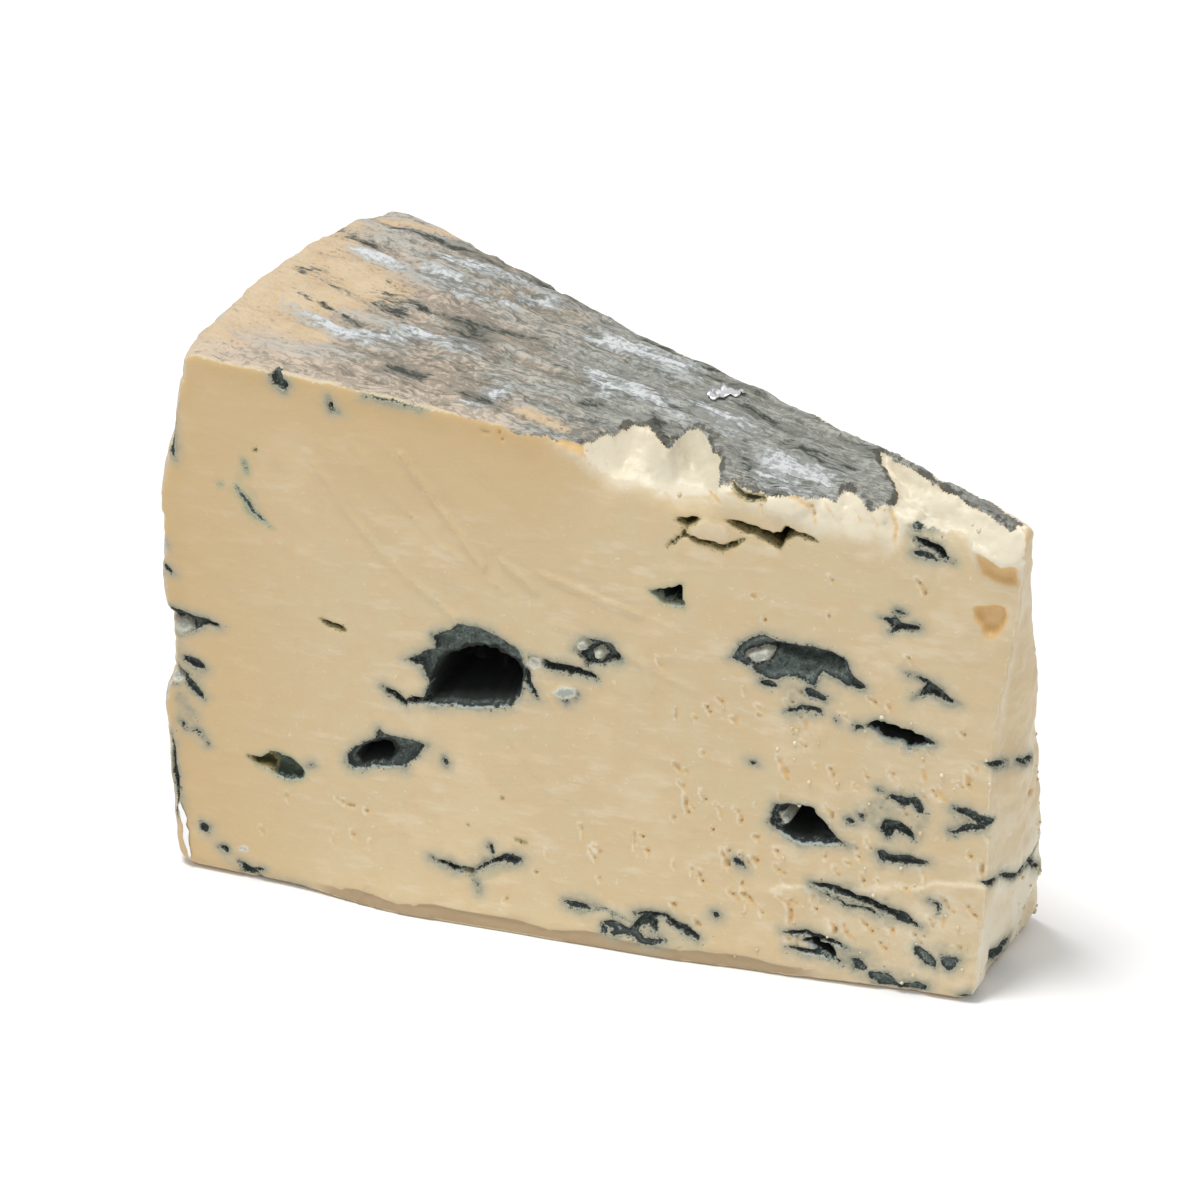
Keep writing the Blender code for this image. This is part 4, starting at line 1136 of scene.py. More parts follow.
def mesh_from(name, points, faces):
    """A mesh of points and of faces that all have the same number of corners."""
    mesh = bpy.data.meshes.new(name)
    corners = faces.shape[1]
    mesh.vertices.add(len(points))
    mesh.vertices.foreach_set("co", np.asarray(points, np.float32).ravel())
    mesh.loops.add(faces.size)
    mesh.loops.foreach_set("vertex_index", faces.astype(np.int32).ravel())
    mesh.polygons.add(len(faces))
    mesh.polygons.foreach_set("loop_start", np.arange(0, faces.size, corners, dtype=np.int32))
    mesh.update(calc_edges=True)
    mesh.validate()
    return mesh


def points_of(mesh):
    """The mesh's points as rows."""
    flat = np.empty(len(mesh.vertices) * 3, np.float32)
    mesh.vertices.foreach_get("co", flat)
    return flat.reshape(-1, 3)


def settle(mesh, radius):
    """Moves a mesh from the cut frame in millimetres to the part's frame in metres."""
    placed = (points_of(mesh) + WHEEL_AXIS - (radius, 0, 0)) * MM
    mesh.vertices.foreach_set("co", placed.astype(np.float32).ravel())
    mesh.update()


def link(obj):
    bpy.context.scene.collection.objects.link(obj)
    return obj


def plain_mesh(obj, name):
    """The object's mesh as its modifiers leave it."""
    bpy.context.view_layer.update()
    graph = bpy.context.evaluated_depsgraph_get()
    mesh = bpy.data.meshes.new_from_object(obj.evaluated_get(graph))
    mesh.name = name
    return mesh


# A cave's lower lip is found from how much its depth changes this far above and below a point; where it
# faces up it gets a painted highlight.
LEDGE_REACH = 0.45


def surface_marks(shape, u, b, z):
    """What the materials need to know at each point of the surface, in millimetres or as shares."""
    past = np.array([shape.past(side, u, b, z) for side in shape.SIDES])
    side = past.argmax(axis=0)
    r, arc = shape.polar(u, b)
    back = shape.on_back(u, b, z)[1:]
    tip = shape.on_tip(u, b, z)[1:]
    places = {"front": (u, z), "back": back, "tip": tip}
    marks = {name: np.zeros(len(u)) for name in ("depth", "fresh", "lit_ledge")}
    for lining in FaceMap.LININGS:
        marks[lining] = np.full(len(u), FAR)
    for name, place in places.items():
        face = getattr(shape, name)
        number = shape.SIDES.index(name)
        own = side == number
        away = np.where(own, 0, np.maximum(-past[number], 0))
        for layer in ("depth", "fresh"):
            marks[layer][own] = face.at(layer, *place)[own]
        across, up = place
        # Upward-facing lower lips of caves, which take a painted highlight.
        rise = face.at("depth", across, up + LEDGE_REACH) - face.at("depth", across, up - LEDGE_REACH)
        marks["lit_ledge"][own] = smoothstep(0.25, 0.9, rise)[own]
        for lining in FaceMap.LININGS:
            marks[lining] = np.minimum(marks[lining], face.at(lining, *place) + away)
    front, top, rim, tip_side = (side == shape.SIDES.index(name) for name in ("front", "top", "rim", "tip"))
    gone = shape.top.at("fresh", u, b)
    marks["fresh"][top] = 0.8 * gone[top]
    bare = gone * smoothstep(110, 100, u) * smoothstep(73, 86, u) * smoothstep(87, 90.5, z)
    bare += 0.55 * top * gone * smoothstep(116, 124, u)
    marks["bare"] = np.where(top | front, bare, 0)
    crumbly = 0.5 * tip_side * smoothstep(14, 21, tip[0]) + 0.03 * smoothstep(0.5, 0.9, marks["fresh"])
    crumbly += 0.05 * front * smoothstep(85, 115, u) * smoothstep(60, 44, z)
    marks["crumb"] = np.where((marks["depth"] > 0.3) | (z < 0.8) | rim | (top & (gone < 0.5)), 0, crumbly)
    marks["crust"] = np.minimum(-past[1] + 6 * gone + 40 * smoothstep(62, 90, u), -past[2])
    marks["lip"] = -past[0]
    # Painted shade on the tucked foot, with some damp browning.
    marks["tuck_shade"] = np.where(front, shape.front.at("tuck_shade", u, z), 0)
    marks["burr"] = np.where(front, -past[shape.SIDES.index("tip")], FAR)
    marks["rind_edge"] = np.where(top, shape.top.at("edge", u, b), FAR)
    marks["rind"] = ((top & (gone < 0.5)) | rim).astype(float)
    marks["side"] = side.astype(float)
    marks["plate"] = np.where(rim, shape.rim.at("plate", arc, z), shape.top.at("plate", u, b))
    bend = noise(u, b, z, 9, 52)
    wander = noise(u, b, z, (7, 5, 7), 53) + 0.5 * noise(u, b, z, 2.6, 54)
    marks["grain"] = np.stack((r + 3 * bend, shape.grain_width(r, arc) + 1.3 * wander, z), axis=1) * MM
    marks["aged"] = smoothstep(40, 92, u + 0.3 * b)
    growth = {kind: np.full(len(u), -FAR) for kind in RIND_STREAKS}
    for kind, streaks in RIND_STREAKS.items():
        for half_width, *ends in streaks:
            reach = -path_distance(u, b, ends, 2 * half_width) / half_width
            growth[kind] = np.maximum(growth[kind], reach)
    patches = noise(u, b, z, (17, 17, 8), 55) + 0.4 * noise(u, b, z, 5, 56)
    growth["ochre"] = np.where(rim, np.maximum(growth["ochre"], 0.3 + 0.8 * patches), growth["ochre"])
    growth["bloom"] = np.where(rim, -0.3 - 0.9 * patches, growth["bloom"])
    for kind, reach in growth.items():
        marks[kind] = np.clip(reach, -1, 1)
    return marks


def keep_marks(mesh, marks):
    """Stores marks on the mesh's vertices as named attributes."""
    for name, values in marks.items():
        kind, field = ("FLOAT_VECTOR", "vector") if values.ndim == 2 else ("FLOAT", "value")
        attribute = mesh.attributes.new(name, kind, "POINT")
        attribute.data.foreach_set(field, values.astype(np.float32).ravel())


def fewer_triangles(obj, shape, points, most):
    """Thins the mesh where it is plain, and keeps it fine at the mould, the caves and the rind."""
    marks = surface_marks(shape, *points.T)
    nearest = np.minimum.reduce([marks[lining] for lining in FaceMap.LININGS])
    busy = np.maximum(smoothstep(1.6, 0.5, nearest), 0.45 * marks["rind"])
    busy = np.maximum(busy, smoothstep(2.0, 0.8, marks["rind_edge"]))
    busy = np.maximum(busy, 0.45 * marks["fresh"])
    busy = np.maximum(busy, 0.25 * (marks["side"] != shape.SIDES.index("back")))
    weights = np.where(points[:, 2] < 0.3, 1, 1 - busy)
    group = obj.vertex_groups.new(name="plain")
    for level in range(11):
        members = np.flatnonzero(np.round(weights * 10) == level)
        group.add(members.tolist(), level / 10, "REPLACE")
    thin = obj.modifiers.new("thin", "DECIMATE")
    thin.ratio = min(1.0, most / (2 * len(obj.data.polygons)))
    thin.vertex_group = group.name
    thin.vertex_group_factor = 0.02
    thin.use_collapse_triangulate = True
    mesh = plain_mesh(obj, "cheese")
    obj.modifiers.remove(thin)
    obj.vertex_groups.clear()
    return mesh


def add(tree, kind, inputs=None, **settings):
    """Adds a node. An input takes a value, or another node's output, which is then linked to it."""
    node = tree.nodes.new(kind)
    for name, value in settings.items():
        setattr(node, name, value)
    for key, value in (inputs or {}).items():
        socket = node.inputs[key]
        if isinstance(value, bpy.types.NodeSocket):
            tree.links.new(value, socket)
        else:
            socket.default_value = value
    return node


def new_material(name):
    material = bpy.data.materials.new(name)
    material.use_nodes = True
    tree = material.node_tree
    tree.nodes.clear()
    shader = add(tree, "ShaderNodeBsdfPrincipled")
    add(tree, "ShaderNodeOutputMaterial", {"Surface": shader.outputs["BSDF"]})
    return material, tree, shader


def per(millimetres):
    """Scale of a pattern whose features are this many millimetres across, on coordinates in metres."""
    return 1 / (millimetres * MM)


def noises(tree, vector, rows):
    """Noise patterns by name, each of a size in millimetres and with its own detail."""
    found = {}
    for name, size, detail in rows:
        inputs = {"Vector": vector, "Scale": per(size), "Detail": detail, "Roughness": 0.6}
        found[name] = add(tree, "ShaderNodeTexNoise", inputs).outputs[0]
    return found


def attributes(tree, *names):
    return {name: add(tree, "ShaderNodeAttribute", attribute_name=name).outputs["Fac"] for name in names}


def blend(tree, start, *terms):
    """A value plus some patterns, each times its own weight."""
    for pattern, weight in terms:
        inputs = {0: pattern, 1: weight, 2: start}
        start = add(tree, "ShaderNodeMath", inputs, operation="MULTIPLY_ADD").outputs[0]
    return start


def hairline(tree, level, pattern, *terms):
    """How far a pattern is from one level, so that it is least along thin winding lines."""
    value = blend(tree, -level, (pattern, 1.0), *terms)
    return add(tree, "ShaderNodeMath", {0: value}, operation="ABSOLUTE").outputs[0]


# Inputs and output of a colour Mix node.
FACTOR, UNDER, OVER, MIXED = 0, 6, 7, 2


def coats(tree, skin, layers):
    """Lays colours over a skin. Each comes in where its pattern goes from one value to another."""
    for pattern, start, full, strength, colour in layers:
        cover = add(
            tree,
            "ShaderNodeMapRange",
            {"Value": pattern, "From Min": start, "From Max": full, "To Max": strength},
            interpolation_type="SMOOTHSTEP",
        )
        skin = add(
            tree,
            "ShaderNodeMix",
            {FACTOR: cover.outputs[0], UNDER: skin, OVER: colour},
            data_type="RGBA",
        ).outputs[MIXED]
    return skin


# Linings of the caves: name, reach of the stain in millimetres, then the colours of the stain, the
# margin, the dark line within it, the wall, its lighter mottling, the depths (dark mould and painted shade)
# and the lit lower lip (a painted highlight).
LINING_COLOURS = (
    ("green", 1.5, "#A3A584", "#A5AA98", "#36423A", "#5C6A59", "#85917C", "#1B211B", "#A9B3A6"),
    ("olive", 0.6, "#B8A97C", "#AD9F74", "#4A4526", "#413D1D", "#5A552F", "#24220F", "#847D55"),
    ("mould", 2.4, "#9D9E8D", "#A09F8C", "#262D2A", "#56605B", "#858C87", "#181D19", "#A5AFA8"),
)


def cut_paste(colours):
    """Blue cheese paste, cut with a knife: moist, fatty and slightly translucent, so its highlights are
    soft and its shadows warm. Mould furs the caves and stains the paste around them grey."""
    material, tree, shader = new_material("cut_cheese_paste")
    place = add(tree, "ShaderNodeTexCoord").outputs["Object"]
    mark = attributes(tree, *FaceMap.LININGS, "depth", "fresh", "crust", "burr", "lit_ledge", "tuck_shade", "bare")
    drawn = add(
        tree,
        "ShaderNodeMapping",
        {"Vector": place, "Rotation": (0, math.radians(24), 0), "Scale": (0.3, 1, 1)},
    ).outputs[0]
    rows = (("broad", 20, 3.0), ("middle", 5, 4.0), ("fine", 1.1, 4.0), ("grit", 0.4, 3.0))
    pattern = noises(tree, place, rows) | noises(tree, drawn, (("streak", 2.4, 3.0),))
    tint = blend(tree, pattern["broad"], (pattern["middle"], 0.5), (pattern["streak"], 0.25))
    smooth = blend(tree, pattern["broad"], (pattern["middle"], 0.25), (pattern["streak"], 0.4))
    ripe = blend(tree, mark["crust"], (pattern["broad"], 12.0), (pattern["middle"], 4.0))
    torn = blend(tree, mark["fresh"], (pattern["middle"], 0.5), (pattern["fine"], 0.2))
    burr = blend(tree, mark["burr"], (pattern["fine"], 1.4))
    dry = blend(tree, mark["bare"], (pattern["middle"], 0.5), (pattern["fine"], -0.4))
    layers = [
        (tint, 0.74, 1.02, 1.0, colours.paste_warm),
        (smooth, 0.78, 1.02, 0.4, hex_colour("#D9CCAA")),
        (pattern["streak"], 0.54, 0.7, 0.22, colours.paste_fresh),
        (pattern["fine"], 0.64, 0.72, 0.5, colours.paste_fresh),
        (ripe, 46.0, 8.0, 0.68, hex_colour("#C6A878")),
        (ripe, 13.0, 8.5, 0.4, hex_colour("#BE9F6B")),
        (torn, 0.5, 1.05, 0.9, colours.paste_fresh),
        (dry, 0.4, 0.9, 0.85, hex_colour("#CAC2AB")),
        (burr, 1.5, 0.7, 0.8, hex_colour("#E2D9C2")),
        # Painted shade: the tucked foot is coloured darker brown, with some damp browning.
        (mark["tuck_shade"], 0.3, 0.7, 0.9, hex_colour("#A68F6E")),
        (mark["tan"], 0.25, -0.35, 0.75, colours.paste_tan),
    ]
    skin = coats(tree, colours.paste, layers)
    # Dark mould and painted shade: the cores of the deepest caves are painted nearly black.
    core_mould_and_shade = blend(tree, mark["core"], (pattern["fine"], 1.0), (mark["depth"], -0.2))
    for name, reach, *codes in LINING_COLOURS:
        stain, margin, line, wall, mottle, dark, lip = (hex_colour(code) for code in codes)
        soft = blend(tree, mark[name], (pattern["middle"], reach), (pattern["fine"], reach / 2))
        frayed = blend(tree, mark[name], (pattern["fine"], 0.7), (pattern["grit"], 0.5))
        furred = blend(tree, pattern["fine"], (pattern["grit"], 0.8))
        # Darker with depth: dark mould and painted shade deep in the cave.
        deep = blend(tree, mark["depth"], (pattern["fine"], 1.5))
        # Painted highlight: the lower lip of a cave, facing up to the light, is painted pale.
        lit = blend(
            tree,
            mark["lit_ledge"],
            (mark[name], 0.5),
            (pattern["fine"], 0.6),
            (mark["depth"], -0.3),
            (mark["core"], -0.1),
        )
        body = coats(
            tree,
            margin,
            (
                (frayed, 0.5, 0.3, 1.0, line),
                (frayed, 0.15, -0.35, 1.0, wall),
                (furred, 0.93, 1.1, 0.7, mottle),
                (furred, 0.86, 0.7, 0.75, line),
                # Dark mould and painted shade in the depths and cores of the caves.
                (deep, 3.4, 7.0, 0.9, dark),
                (core_mould_and_shade, 0.75, 0.1, 0.95, dark),
                # Painted highlight on the upward-facing lower lip.
                (lit, 0.86, 1.05, 0.8, lip),
                (pattern["grit"], 0.42, 0.3, 0.5, line),
            ),
        )
        spots = blend(tree, pattern["fine"], (mark[name], -0.09), (pattern["grit"], 0.25))
        layers = (
            (soft, reach * 1.75, reach * 0.6, 0.7, stain),
            (soft, reach * 1.1, reach * 0.5, 0.5, wall),
            (spots, 0.72, 0.78, 0.7, line),
            (frayed, 0.78, 0.55, 1.0, body),
        )
        skin = coats(tree, skin, layers)
    scrap = blend(tree, mark["flake"], (pattern["grit"], 0.4))
    furry = blend(tree, pattern["grit"], (pattern["fine"], 1.0), (mark["flake"], -0.6))
    scraps = (
        (scrap, 0.3, -0.1, 1.0, hex_colour("#C9C6B6")),
        (furry, 1.2, 1.5, 0.75, hex_colour("#8D9791")),
    )
    skin = coats(tree, skin, scraps)
    tree.links.new(skin, shader.inputs["Base Color"])
    rough = add(
        tree,
        "ShaderNodeMapRange",
        {"Value": mark["mould"], "From Min": 1.0, "From Max": -0.2, "To Min": 0.45, "To Max": 0.85},
    )
    tree.links.new(rough.outputs[0], shader.inputs["Roughness"])
    shader.inputs["Subsurface Weight"].default_value = 0.1
    shader.inputs["Subsurface Radius"].default_value = (1.0, 0.7, 0.45)
    shader.inputs["Subsurface Scale"].default_value = 1.2 * MM
    height = blend(tree, pattern["fine"], (pattern["streak"], 1.2), (pattern["grit"], 0.3))
    bump = add(tree, "ShaderNodeBump", {"Height": height, "Strength": 0.4, "Distance": 0.25 * MM})
    tree.links.new(bump.outputs[0], shader.inputs["Normal"])
    return material


def natural_rind(colours):
    """Natural rind, rubbed and aged: dry, dull and rough, streaked towards the axis with white bloom,
    green-black mould and bare ochre."""
    material, tree, shader = new_material("natural_cheese_rind")
    place = add(tree, "ShaderNodeTexCoord").outputs["Object"]
    grain = add(tree, "ShaderNodeAttribute", attribute_name="grain").outputs["Vector"]
    mark = attributes(tree, "ochre", "bloom", "soot", "lip", "rind_edge", "plate", "aged")
    drawn = add(tree, "ShaderNodeMapping", {"Vector": grain, "Scale": (0.17, 1, 0.6)}).outputs[0]
    smeared = add(
        tree,
        "ShaderNodeMapping",
        {"Vector": grain, "Location": (0.2, 0.1, 0), "Scale": (0.3, 1, 0.7)},
    ).outputs[0]
    pattern = noises(tree, drawn, (("long", 3.0, 4.0), ("streak", 1.2, 3.0)))
    pattern |= noises(tree, smeared, (("smear", 2.6, 4.0), ("hair", 0.7, 3.0), ("slab", 5.0, 3.0)))
    pattern |= noises(tree, place, (("blotch", 5.0, 4.0), ("speck", 1.1, 3.0)))
    crease = hairline(tree, 0.52, pattern["long"], (pattern["speck"], 0.06))
    crease = blend(tree, crease, (mark["ochre"], 0.03))
    plate = blend(tree, mark["plate"], (pattern["streak"], 1.0), (pattern["speck"], 0.5))
    peach = ((pattern["long"], 2.0), (pattern["hair"], 0.5), (pattern["speck"], 0.4))
    ochre = blend(tree, mark["ochre"], *peach)
    cream = blend(tree, ochre, (pattern["blotch"], 1.6))
    grey = blend(tree, mark["aged"], (pattern["smear"], 2.4), (pattern["blotch"], 1.2))
    bloom = blend(
        tree,
        pattern["speck"],
        (mark["bloom"], 0.5),
        (mark["plate"], 0.15),
        (pattern["long"], 2.0),
        (pattern["hair"], 0.8),
    )
    soot = blend(
        tree,
        pattern["speck"],
        (mark["soot"], 0.52),
        (mark["plate"], -0.15),
        (pattern["smear"], 1.6),
        (pattern["streak"], 1.8),
        (pattern["hair"], 1.6),
    )
    holes = ((mark["plate"], 0.1), (mark["ochre"], 0.15), (pattern["hair"], 0.7))
    pitted = blend(tree, pattern["speck"], *holes)
    # Painted shade in the low hair lines of the bump.
    hair_shade = blend(tree, pattern["hair"], (mark["ochre"], 0.06))
    flat = ((mark["aged"], 0.24), (mark["ochre"], -0.04), (pattern["speck"], 0.05))
    slab = blend(tree, pattern["slab"], *flat)
    crack = hairline(tree, 0.74, slab)
    fringe = blend(tree, mark["lip"], (pattern["blotch"], 8.0), (mark["aged"], 14.0))
    edge = blend(tree, mark["rind_edge"], (pattern["speck"], 1.6), (pattern["blotch"], 3.4))
    lip = blend(tree, mark["lip"], (pattern["blotch"], 3.0), (pattern["speck"], 1.0), (mark["aged"], 2.0))
    frayed = ((pattern["blotch"], 3.4), (pattern["speck"], 1.6), (mark["aged"], -1.6))
    brink = blend(tree, mark["lip"], *frayed)
    layers = (
        (pattern["blotch"], 0.36, 0.62, 0.9, hex_colour("#BFAE9C")),
        (grey, 2.0, 2.8, 0.9, colours.rind_grey),
        (pattern["smear"], 0.5, 0.66, 0.4, hex_colour("#938A79")),
        # Painted highlight on the raised plates and painted shade in the grooves and pits.
        (plate, 0.95, 1.5, 0.55, hex_colour("#A9ABA5")),
        (plate, 0.95, 0.55, 0.4, hex_colour("#6F6E65")),
        (ochre, 1.25, 2.0, 0.92, colours.rind_ochre),
        (cream, 2.55, 3.2, 0.4, hex_colour("#CDBEA3")),
        (pattern["streak"], 0.54, 0.68, 0.45, hex_colour("#C3AF99")),
        # Painted highlight on the raised hair lines and painted shade in the low ones, following the bump.
        (pattern["hair"], 0.52, 0.68, 0.4, hex_colour("#C9BBA6")),
        (hair_shade, 0.46, 0.32, 0.3, hex_colour("#7C786F")),
        (fringe, 15.0, 7.0, 0.65, hex_colour("#C9B8A4")),
        (slab, 0.73, 0.76, 0.7, hex_colour("#A3A59F")),
        (crack, 0.018, 0.0, 0.6, hex_colour("#54544B")),
        (bloom, 1.92, 2.3, 0.85, colours.rind_bloom),
        (bloom, 2.25, 2.55, 0.9, hex_colour("#CBCECE")),
        (crease, 0.012, -0.03, 0.55, hex_colour("#54544B")),
        (soot, 3.0, 3.32, 0.75, hex_colour("#6C6F67")),
        (soot, 3.24, 3.6, 0.95, colours.rind_soot),
        (pitted, 0.84, 0.7, 0.35, hex_colour("#4A4A41")),
        (edge, 2.95, 2.55, 0.8, hex_colour("#4C4A40")),
        (lip, 3.2, 2.4, 0.9, hex_colour("#CDBFA0")),
        (brink, 1.5, 1.0, 0.7, hex_colour("#4C4A40")),
    )
    skin = coats(tree, hex_colour("#A69B8D"), layers)
    tree.links.new(skin, shader.inputs["Base Color"])
    shader.inputs["Roughness"].default_value = 0.8
    shader.inputs["Subsurface Weight"].default_value = 0.05
    shader.inputs["Subsurface Radius"].default_value = (1.0, 0.6, 0.3)
    shader.inputs["Subsurface Scale"].default_value = 1.5 * MM
    rough = ((pattern["blotch"], 0.8), (pattern["speck"], 0.6), (pattern["hair"], 0.5))
    height = blend(tree, pattern["streak"], *rough)
    bump = add(tree, "ShaderNodeBump", {"Height": height, "Strength": 0.8, "Distance": 0.7 * MM})
    tree.links.new(bump.outputs[0], shader.inputs["Normal"])
    return material


def crumb_paste(colours):
    """Crumbled paste: the same ivory as the cut face, dull because it has dried."""
    material, tree, shader = new_material("crumbled_cheese_paste")
    place = add(tree, "ShaderNodeTexCoord").outputs["Object"]
    tint = noises(tree, place, (("tint", 4, 2.0),))["tint"]
    skin = coats(tree, colours.paste_fresh, ((tint, 0.4, 0.6, 1.0, colours.paste),))
    tree.links.new(skin, shader.inputs["Base Color"])
    shader.inputs["Roughness"].default_value = 0.6
    shader.inputs["Subsurface Weight"].default_value = 0.15
    shader.inputs["Subsurface Radius"].default_value = (1.0, 0.55, 0.25)
    shader.inputs["Subsurface Scale"].default_value = 1.5 * MM
    return material


def foil():
    """Aluminium foil, rolled thin and crumpled: bright metal that breaks into sharp glints."""
    material, tree, shader = new_material("crumpled_aluminium_foil")
    place = add(tree, "ShaderNodeTexCoord").outputs["Object"]
    crease = noises(tree, place, (("crease", 1.2, 3.0),))["crease"]
    bump = add(tree, "ShaderNodeBump", {"Height": crease, "Strength": 0.6, "Distance": 0.2 * MM})
    tree.links.new(bump.outputs[0], shader.inputs["Normal"])
    shader.inputs["Base Color"].default_value = hex_colour("#EDEEF0")
    shader.inputs["Metallic"].default_value = 1.0
    shader.inputs["Roughness"].default_value = 0.28
    return material


class CHEESE_OT_wedge(bpy.types.Operator):
    """Works the wedge itself: paste, caves, mould and rind in one closed mesh"""

    bl_idname = "cheese.wedge"
    bl_label = "Wedge"

    def execute(self, context):
        sizes = context.scene.wedge_sizes
        colours = context.scene.wedge_colours
        shape = Slice(sizes)
        step = sizes.grain / MM * 1
        low, field = shape.field(step)
        fill_pinches(field)
        points, quads = largest_part(*surface_net(field, low, step))
        del field
        rough = link(bpy.data.objects.new("rough_cheese", mesh_from("rough", points, quads)))
        mesh = fewer_triangles(rough, shape, points, sizes.triangles)
        bpy.data.objects.remove(rough)
        marks = surface_marks(shape, *points_of(mesh).T)
        keep_marks(mesh, marks)
        settle(mesh, shape.radius)
        mesh.materials.clear()
        mesh.materials.append(cut_paste(colours))
        mesh.materials.append(natural_rind(colours))
        corners = np.empty(len(mesh.loops), np.int32)
        mesh.loops.foreach_get("vertex_index", corners)
        rind = marks["rind"][corners].reshape(-1, 3).sum(axis=1) >= 2
        mesh.polygons.foreach_set("material_index", rind.astype(np.int32))
        mesh.shade_smooth()
        cheese = link(bpy.data.objects.new("cheese", mesh))
        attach(cheese, "root")
        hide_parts(NODE)
        return {"FINISHED"}


def lump():
    """A small uneven lump of two dozen faces, one millimetre across."""
    bpy.ops.mesh.primitive_uv_sphere_add(segments=6, ring_count=4, radius=0.5 * MM)
    obj = bpy.context.object
    points = points_of(obj.data)
    uneven = 1 + 0.35 * noise(*(points.T / MM), 0.6, 51)
    obj.data.vertices.foreach_set("co", (points * uneven[:, None]).astype(np.float32).ravel())
    obj.data.shade_smooth()
    return obj


def scatter_tree(grain, material):
    """Lays lumps over a mesh, as closely as its crumb attribute says."""
    tree = bpy.data.node_groups.new("scatter", "GeometryNodeTree")
    face = tree.interface
    face.new_socket("Cheese", in_out="INPUT", socket_type="NodeSocketGeometry")
    for name in ("Density", "Smallest", "Largest"):
        face.new_socket(name, in_out="INPUT", socket_type="NodeSocketFloat")
    face.new_socket("Crumbs", in_out="OUTPUT", socket_type="NodeSocketGeometry")
    given = add(tree, "NodeGroupInput").outputs
    where = add(tree, "GeometryNodeInputNamedAttribute", {"Name": "crumb"}, data_type="FLOAT")
    thick = add(tree, "ShaderNodeMath", {0: where.outputs[0], 1: given["Density"]}, operation="MULTIPLY")
    points = add(
        tree,
        "GeometryNodeDistributePointsOnFaces",
        {"Mesh": given["Cheese"], "Density": thick.outputs[0], "Seed": 5},
    )
    turn = add(
        tree,
        "FunctionNodeRandomValue",
        {0: (0, 0, 0), 1: (math.tau,) * 3, "Seed": 6},
        data_type="FLOAT_VECTOR",
    )
    size = add(
        tree,
        "FunctionNodeRandomValue",
        {2: given["Smallest"], 3: given["Largest"], "Seed": 7},
        data_type="FLOAT",
    )
    shape = add(tree, "GeometryNodeObjectInfo", {"Object": grain})
    laid = add(
        tree,
        "GeometryNodeInstanceOnPoints",
        {
            "Points": points.outputs["Points"],
            "Instance": shape.outputs["Geometry"],
            "Rotation": turn.outputs[0],
            "Scale": size.outputs[1],
        },
    )
    whole = add(tree, "GeometryNodeRealizeInstances", {"Geometry": laid.outputs[0]})
    painted = add(tree, "GeometryNodeSetMaterial", {"Geometry": whole.outputs[0], "Material": material})
    add(tree, "NodeGroupOutput", {"Crumbs": painted.outputs[0]})
    return tree


class CHEESE_OT_crumbs(bpy.types.Operator):
    """Scatters crumbs where the paste is broken"""

    bl_idname = "cheese.crumbs"
    bl_label = "Crumbs"

    def execute(self, context):
        sizes = context.scene.wedge_sizes
        grain = lump()
        ground = link(bpy.data.objects.new("ground", bpy.data.objects["cheese"].data))
        tree = scatter_tree(grain, crumb_paste(context.scene.wedge_colours))
        scatter = ground.modifiers.new("scatter", "NODES")
        scatter.node_group = tree
        values = {
            "Density": sizes.crumb_density,
            "Smallest": sizes.smallest_crumb / MM,
            "Largest": sizes.crumb / MM,
        }
        for item in tree.interface.items_tree:
            if item.name in values:
                scatter[item.identifier] = values[item.name]
        crumbs = link(bpy.data.objects.new("crumbs", plain_mesh(ground, "crumbs")))
        for spent in (ground, grain):
            bpy.data.objects.remove(spent)
        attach(crumbs, "root")
        return {"FINISHED"}


# Shreds of foil: name, side that it sticks to, its two ends on that side's map and its width.
FOIL_SHREDS = (
    ("top_shred", "top", (87.4, 20.0), (92.6, 24.4), 3.4),
    ("rim_shred", "front", (-3.0, 12.6), (-0.9, 2.2), 1.1),
)


class CHEESE_OT_foil(bpy.types.Operator):
    """Sticks two shreds of foil to the rind"""

    bl_idname = "cheese.foil"
    bl_label = "Foil shreds"

    def execute(self, context):
        sizes = context.scene.wedge_sizes
        shape = Slice(sizes)
        material = foil()
        rows, columns = 18, 7
        for name, side, start, end, width in FOIL_SHREDS:
            places = (np.linspace(0, 1, rows), np.linspace(-0.5, 0.5, columns))
            share, across = np.meshgrid(*places, indexing="ij")
            start, end = np.array(start), np.array(end)
            along = (end - start) / np.linalg.norm(end - start)
            ragged = width * (0.25 + np.sqrt(np.sin(math.pi * share)))
            ragged = ragged * (0.8 + 0.5 * noise(share * 9, across, 0, 1, 61))
            x = start[0] + share * (end - start)[0] - along[1] * across * ragged
            y = start[1] + share * (end - start)[1] + along[0] * across * ragged
            crumple = 0.18 * np.abs(noise(x, y, 0, (1.5, 1.1, 9), 62)) + 0.12 * np.abs(across)
            lift = 0.1 + width * crumple
            surface = getattr(shape, side).surface(x, y)
            if side == "top":
                points = np.stack((x, y, lift - surface), axis=-1)
            else:
                points = np.stack((x, surface - lift, y), axis=-1)
            index = np.arange(rows * columns).reshape(rows, columns)
            corners = (index[:-1, :-1], index[1:, :-1], index[1:, 1:], index[:-1, 1:])
            faces = np.stack(corners, axis=-1).reshape(-1, 4)
            sheet = link(bpy.data.objects.new(name, mesh_from(name, points.reshape(-1, 3), faces)))
            settle(sheet.data, shape.radius)
            sheet.data.materials.append(material)
            thick = sheet.modifiers.new("thick", "SOLIDIFY")
            thick.thickness = sizes.foil
            shred = link(bpy.data.objects.new(name, plain_mesh(sheet, name)))
            bpy.data.objects.remove(sheet)
            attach(shred, "root")
        return {"FINISHED"}


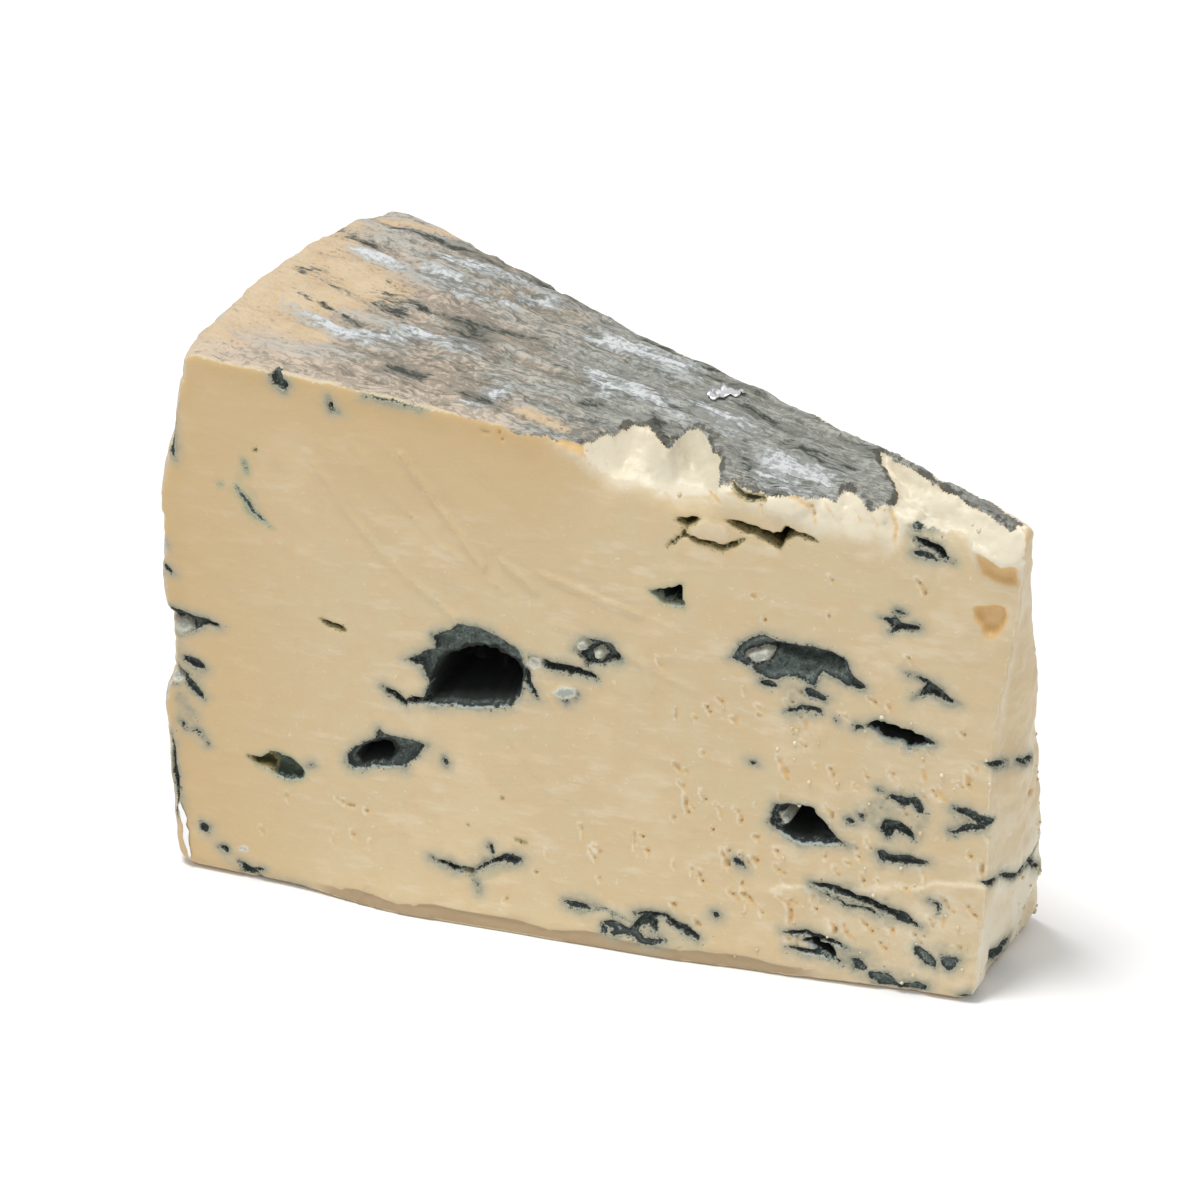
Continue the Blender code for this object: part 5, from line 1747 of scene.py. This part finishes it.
# The stage, in metres: the point the camera looks at, the way to the lamp and the width of the floor.
LOOK_AT = Vector((-0.01299, 0.0, 0.04876))
LAMP_SIDE = Vector((-0.16, -0.19, 0.97))
FLOOR_WIDTH = 12
FILM_WIDTH = 36


class CHEESE_OT_stage(bpy.types.Operator):
    """Sets up the floor, the soft light and the camera"""

    bl_idname = "cheese.stage"
    bl_label = "Stage"

    def execute(self, context):
        settings = context.scene.stage_settings
        bpy.ops.mesh.primitive_plane_add(size=FLOOR_WIDTH)
        floor = context.object
        floor.name = "floor"
        material, _, shader = new_material("matt_white_table")
        shader.inputs["Base Color"].default_value = (0.9, 0.9, 0.9, 1)
        shader.inputs["Roughness"].default_value = 0.9
        floor.data.materials.append(material)
        world = bpy.data.worlds.new("white_room")
        world.use_nodes = True
        sky = world.node_tree.nodes["Background"]
        sky.inputs["Color"].default_value = (1, 1, 1, 1)
        sky.inputs["Strength"].default_value = settings.fill
        context.scene.world = world
        lamp = bpy.data.lights.new("overhead", "AREA")
        lamp.shape = "DISK"
        lamp.size = settings.lamp_size
        lamp.energy = settings.key_power
        key = link(bpy.data.objects.new("overhead", lamp))
        towards = LAMP_SIDE.normalized()
        turn = towards.to_track_quat("Z", "Y").to_matrix().to_4x4()
        key.matrix_world = Matrix.Translation(LOOK_AT + towards * settings.lamp_height) @ turn
        level = math.cos(settings.elevation)
        away = Vector(
            (
                math.sin(settings.azimuth) * level,
                -math.cos(settings.azimuth) * level,
                math.sin(settings.elevation),
            )
        )
        lens = bpy.data.cameras.new("camera")
        lens.lens = settings.lens
        lens.sensor_width = FILM_WIDTH
        camera = link(bpy.data.objects.new("camera", lens))
        facing = (-away).to_track_quat("-Z", "Y").to_matrix().to_4x4()
        camera.matrix_world = Matrix.Translation(LOOK_AT + away * settings.distance) @ facing
        context.scene.camera = camera
        context.scene.view_settings.view_transform = "Standard"
        return {"FINISHED"}


class CHEESE_PT_panel(bpy.types.Panel):
    """Lists the wedge's pieces, sizes and colours"""

    bl_label = "Blue Cheese Wedge"
    bl_idname = "CHEESE_PT_panel"
    bl_space_type = "VIEW_3D"
    bl_region_type = "UI"
    bl_category = "Cheese"

    def draw(self, context):
        for settings in (
            context.scene.wedge_sizes,
            context.scene.wedge_colours,
            context.scene.stage_settings,
        ):
            box = self.layout.box()
            for name in settings.__annotations__:
                box.prop(settings, name)
        for operator in OPERATORS:
            self.layout.operator(operator.bl_idname)


OPERATORS = (CHEESE_OT_wedge, CHEESE_OT_crumbs, CHEESE_OT_foil, CHEESE_OT_stage)
GROUPS = {
    "wedge_sizes": WedgeSizes,
    "wedge_colours": WedgeColours,
    "stage_settings": StageSettings,
}


def register():
    for group in GROUPS.values():
        bpy.utils.register_class(group)
    for operator in OPERATORS:
        bpy.utils.register_class(operator)
    bpy.utils.register_class(CHEESE_PT_panel)
    for name, group in GROUPS.items():
        setattr(bpy.types.Scene, name, PointerProperty(type=group))


def unregister():
    for name in GROUPS:
        delattr(bpy.types.Scene, name)
    bpy.utils.unregister_class(CHEESE_PT_panel)
    for cls in (*OPERATORS, *GROUPS.values()):
        bpy.utils.unregister_class(cls)


def main():
    register()
    bpy.ops.cheese.wedge()
    bpy.ops.cheese.crumbs()
    bpy.ops.cheese.foil()
    bpy.ops.cheese.stage()


if __name__ == "__main__":
    main()
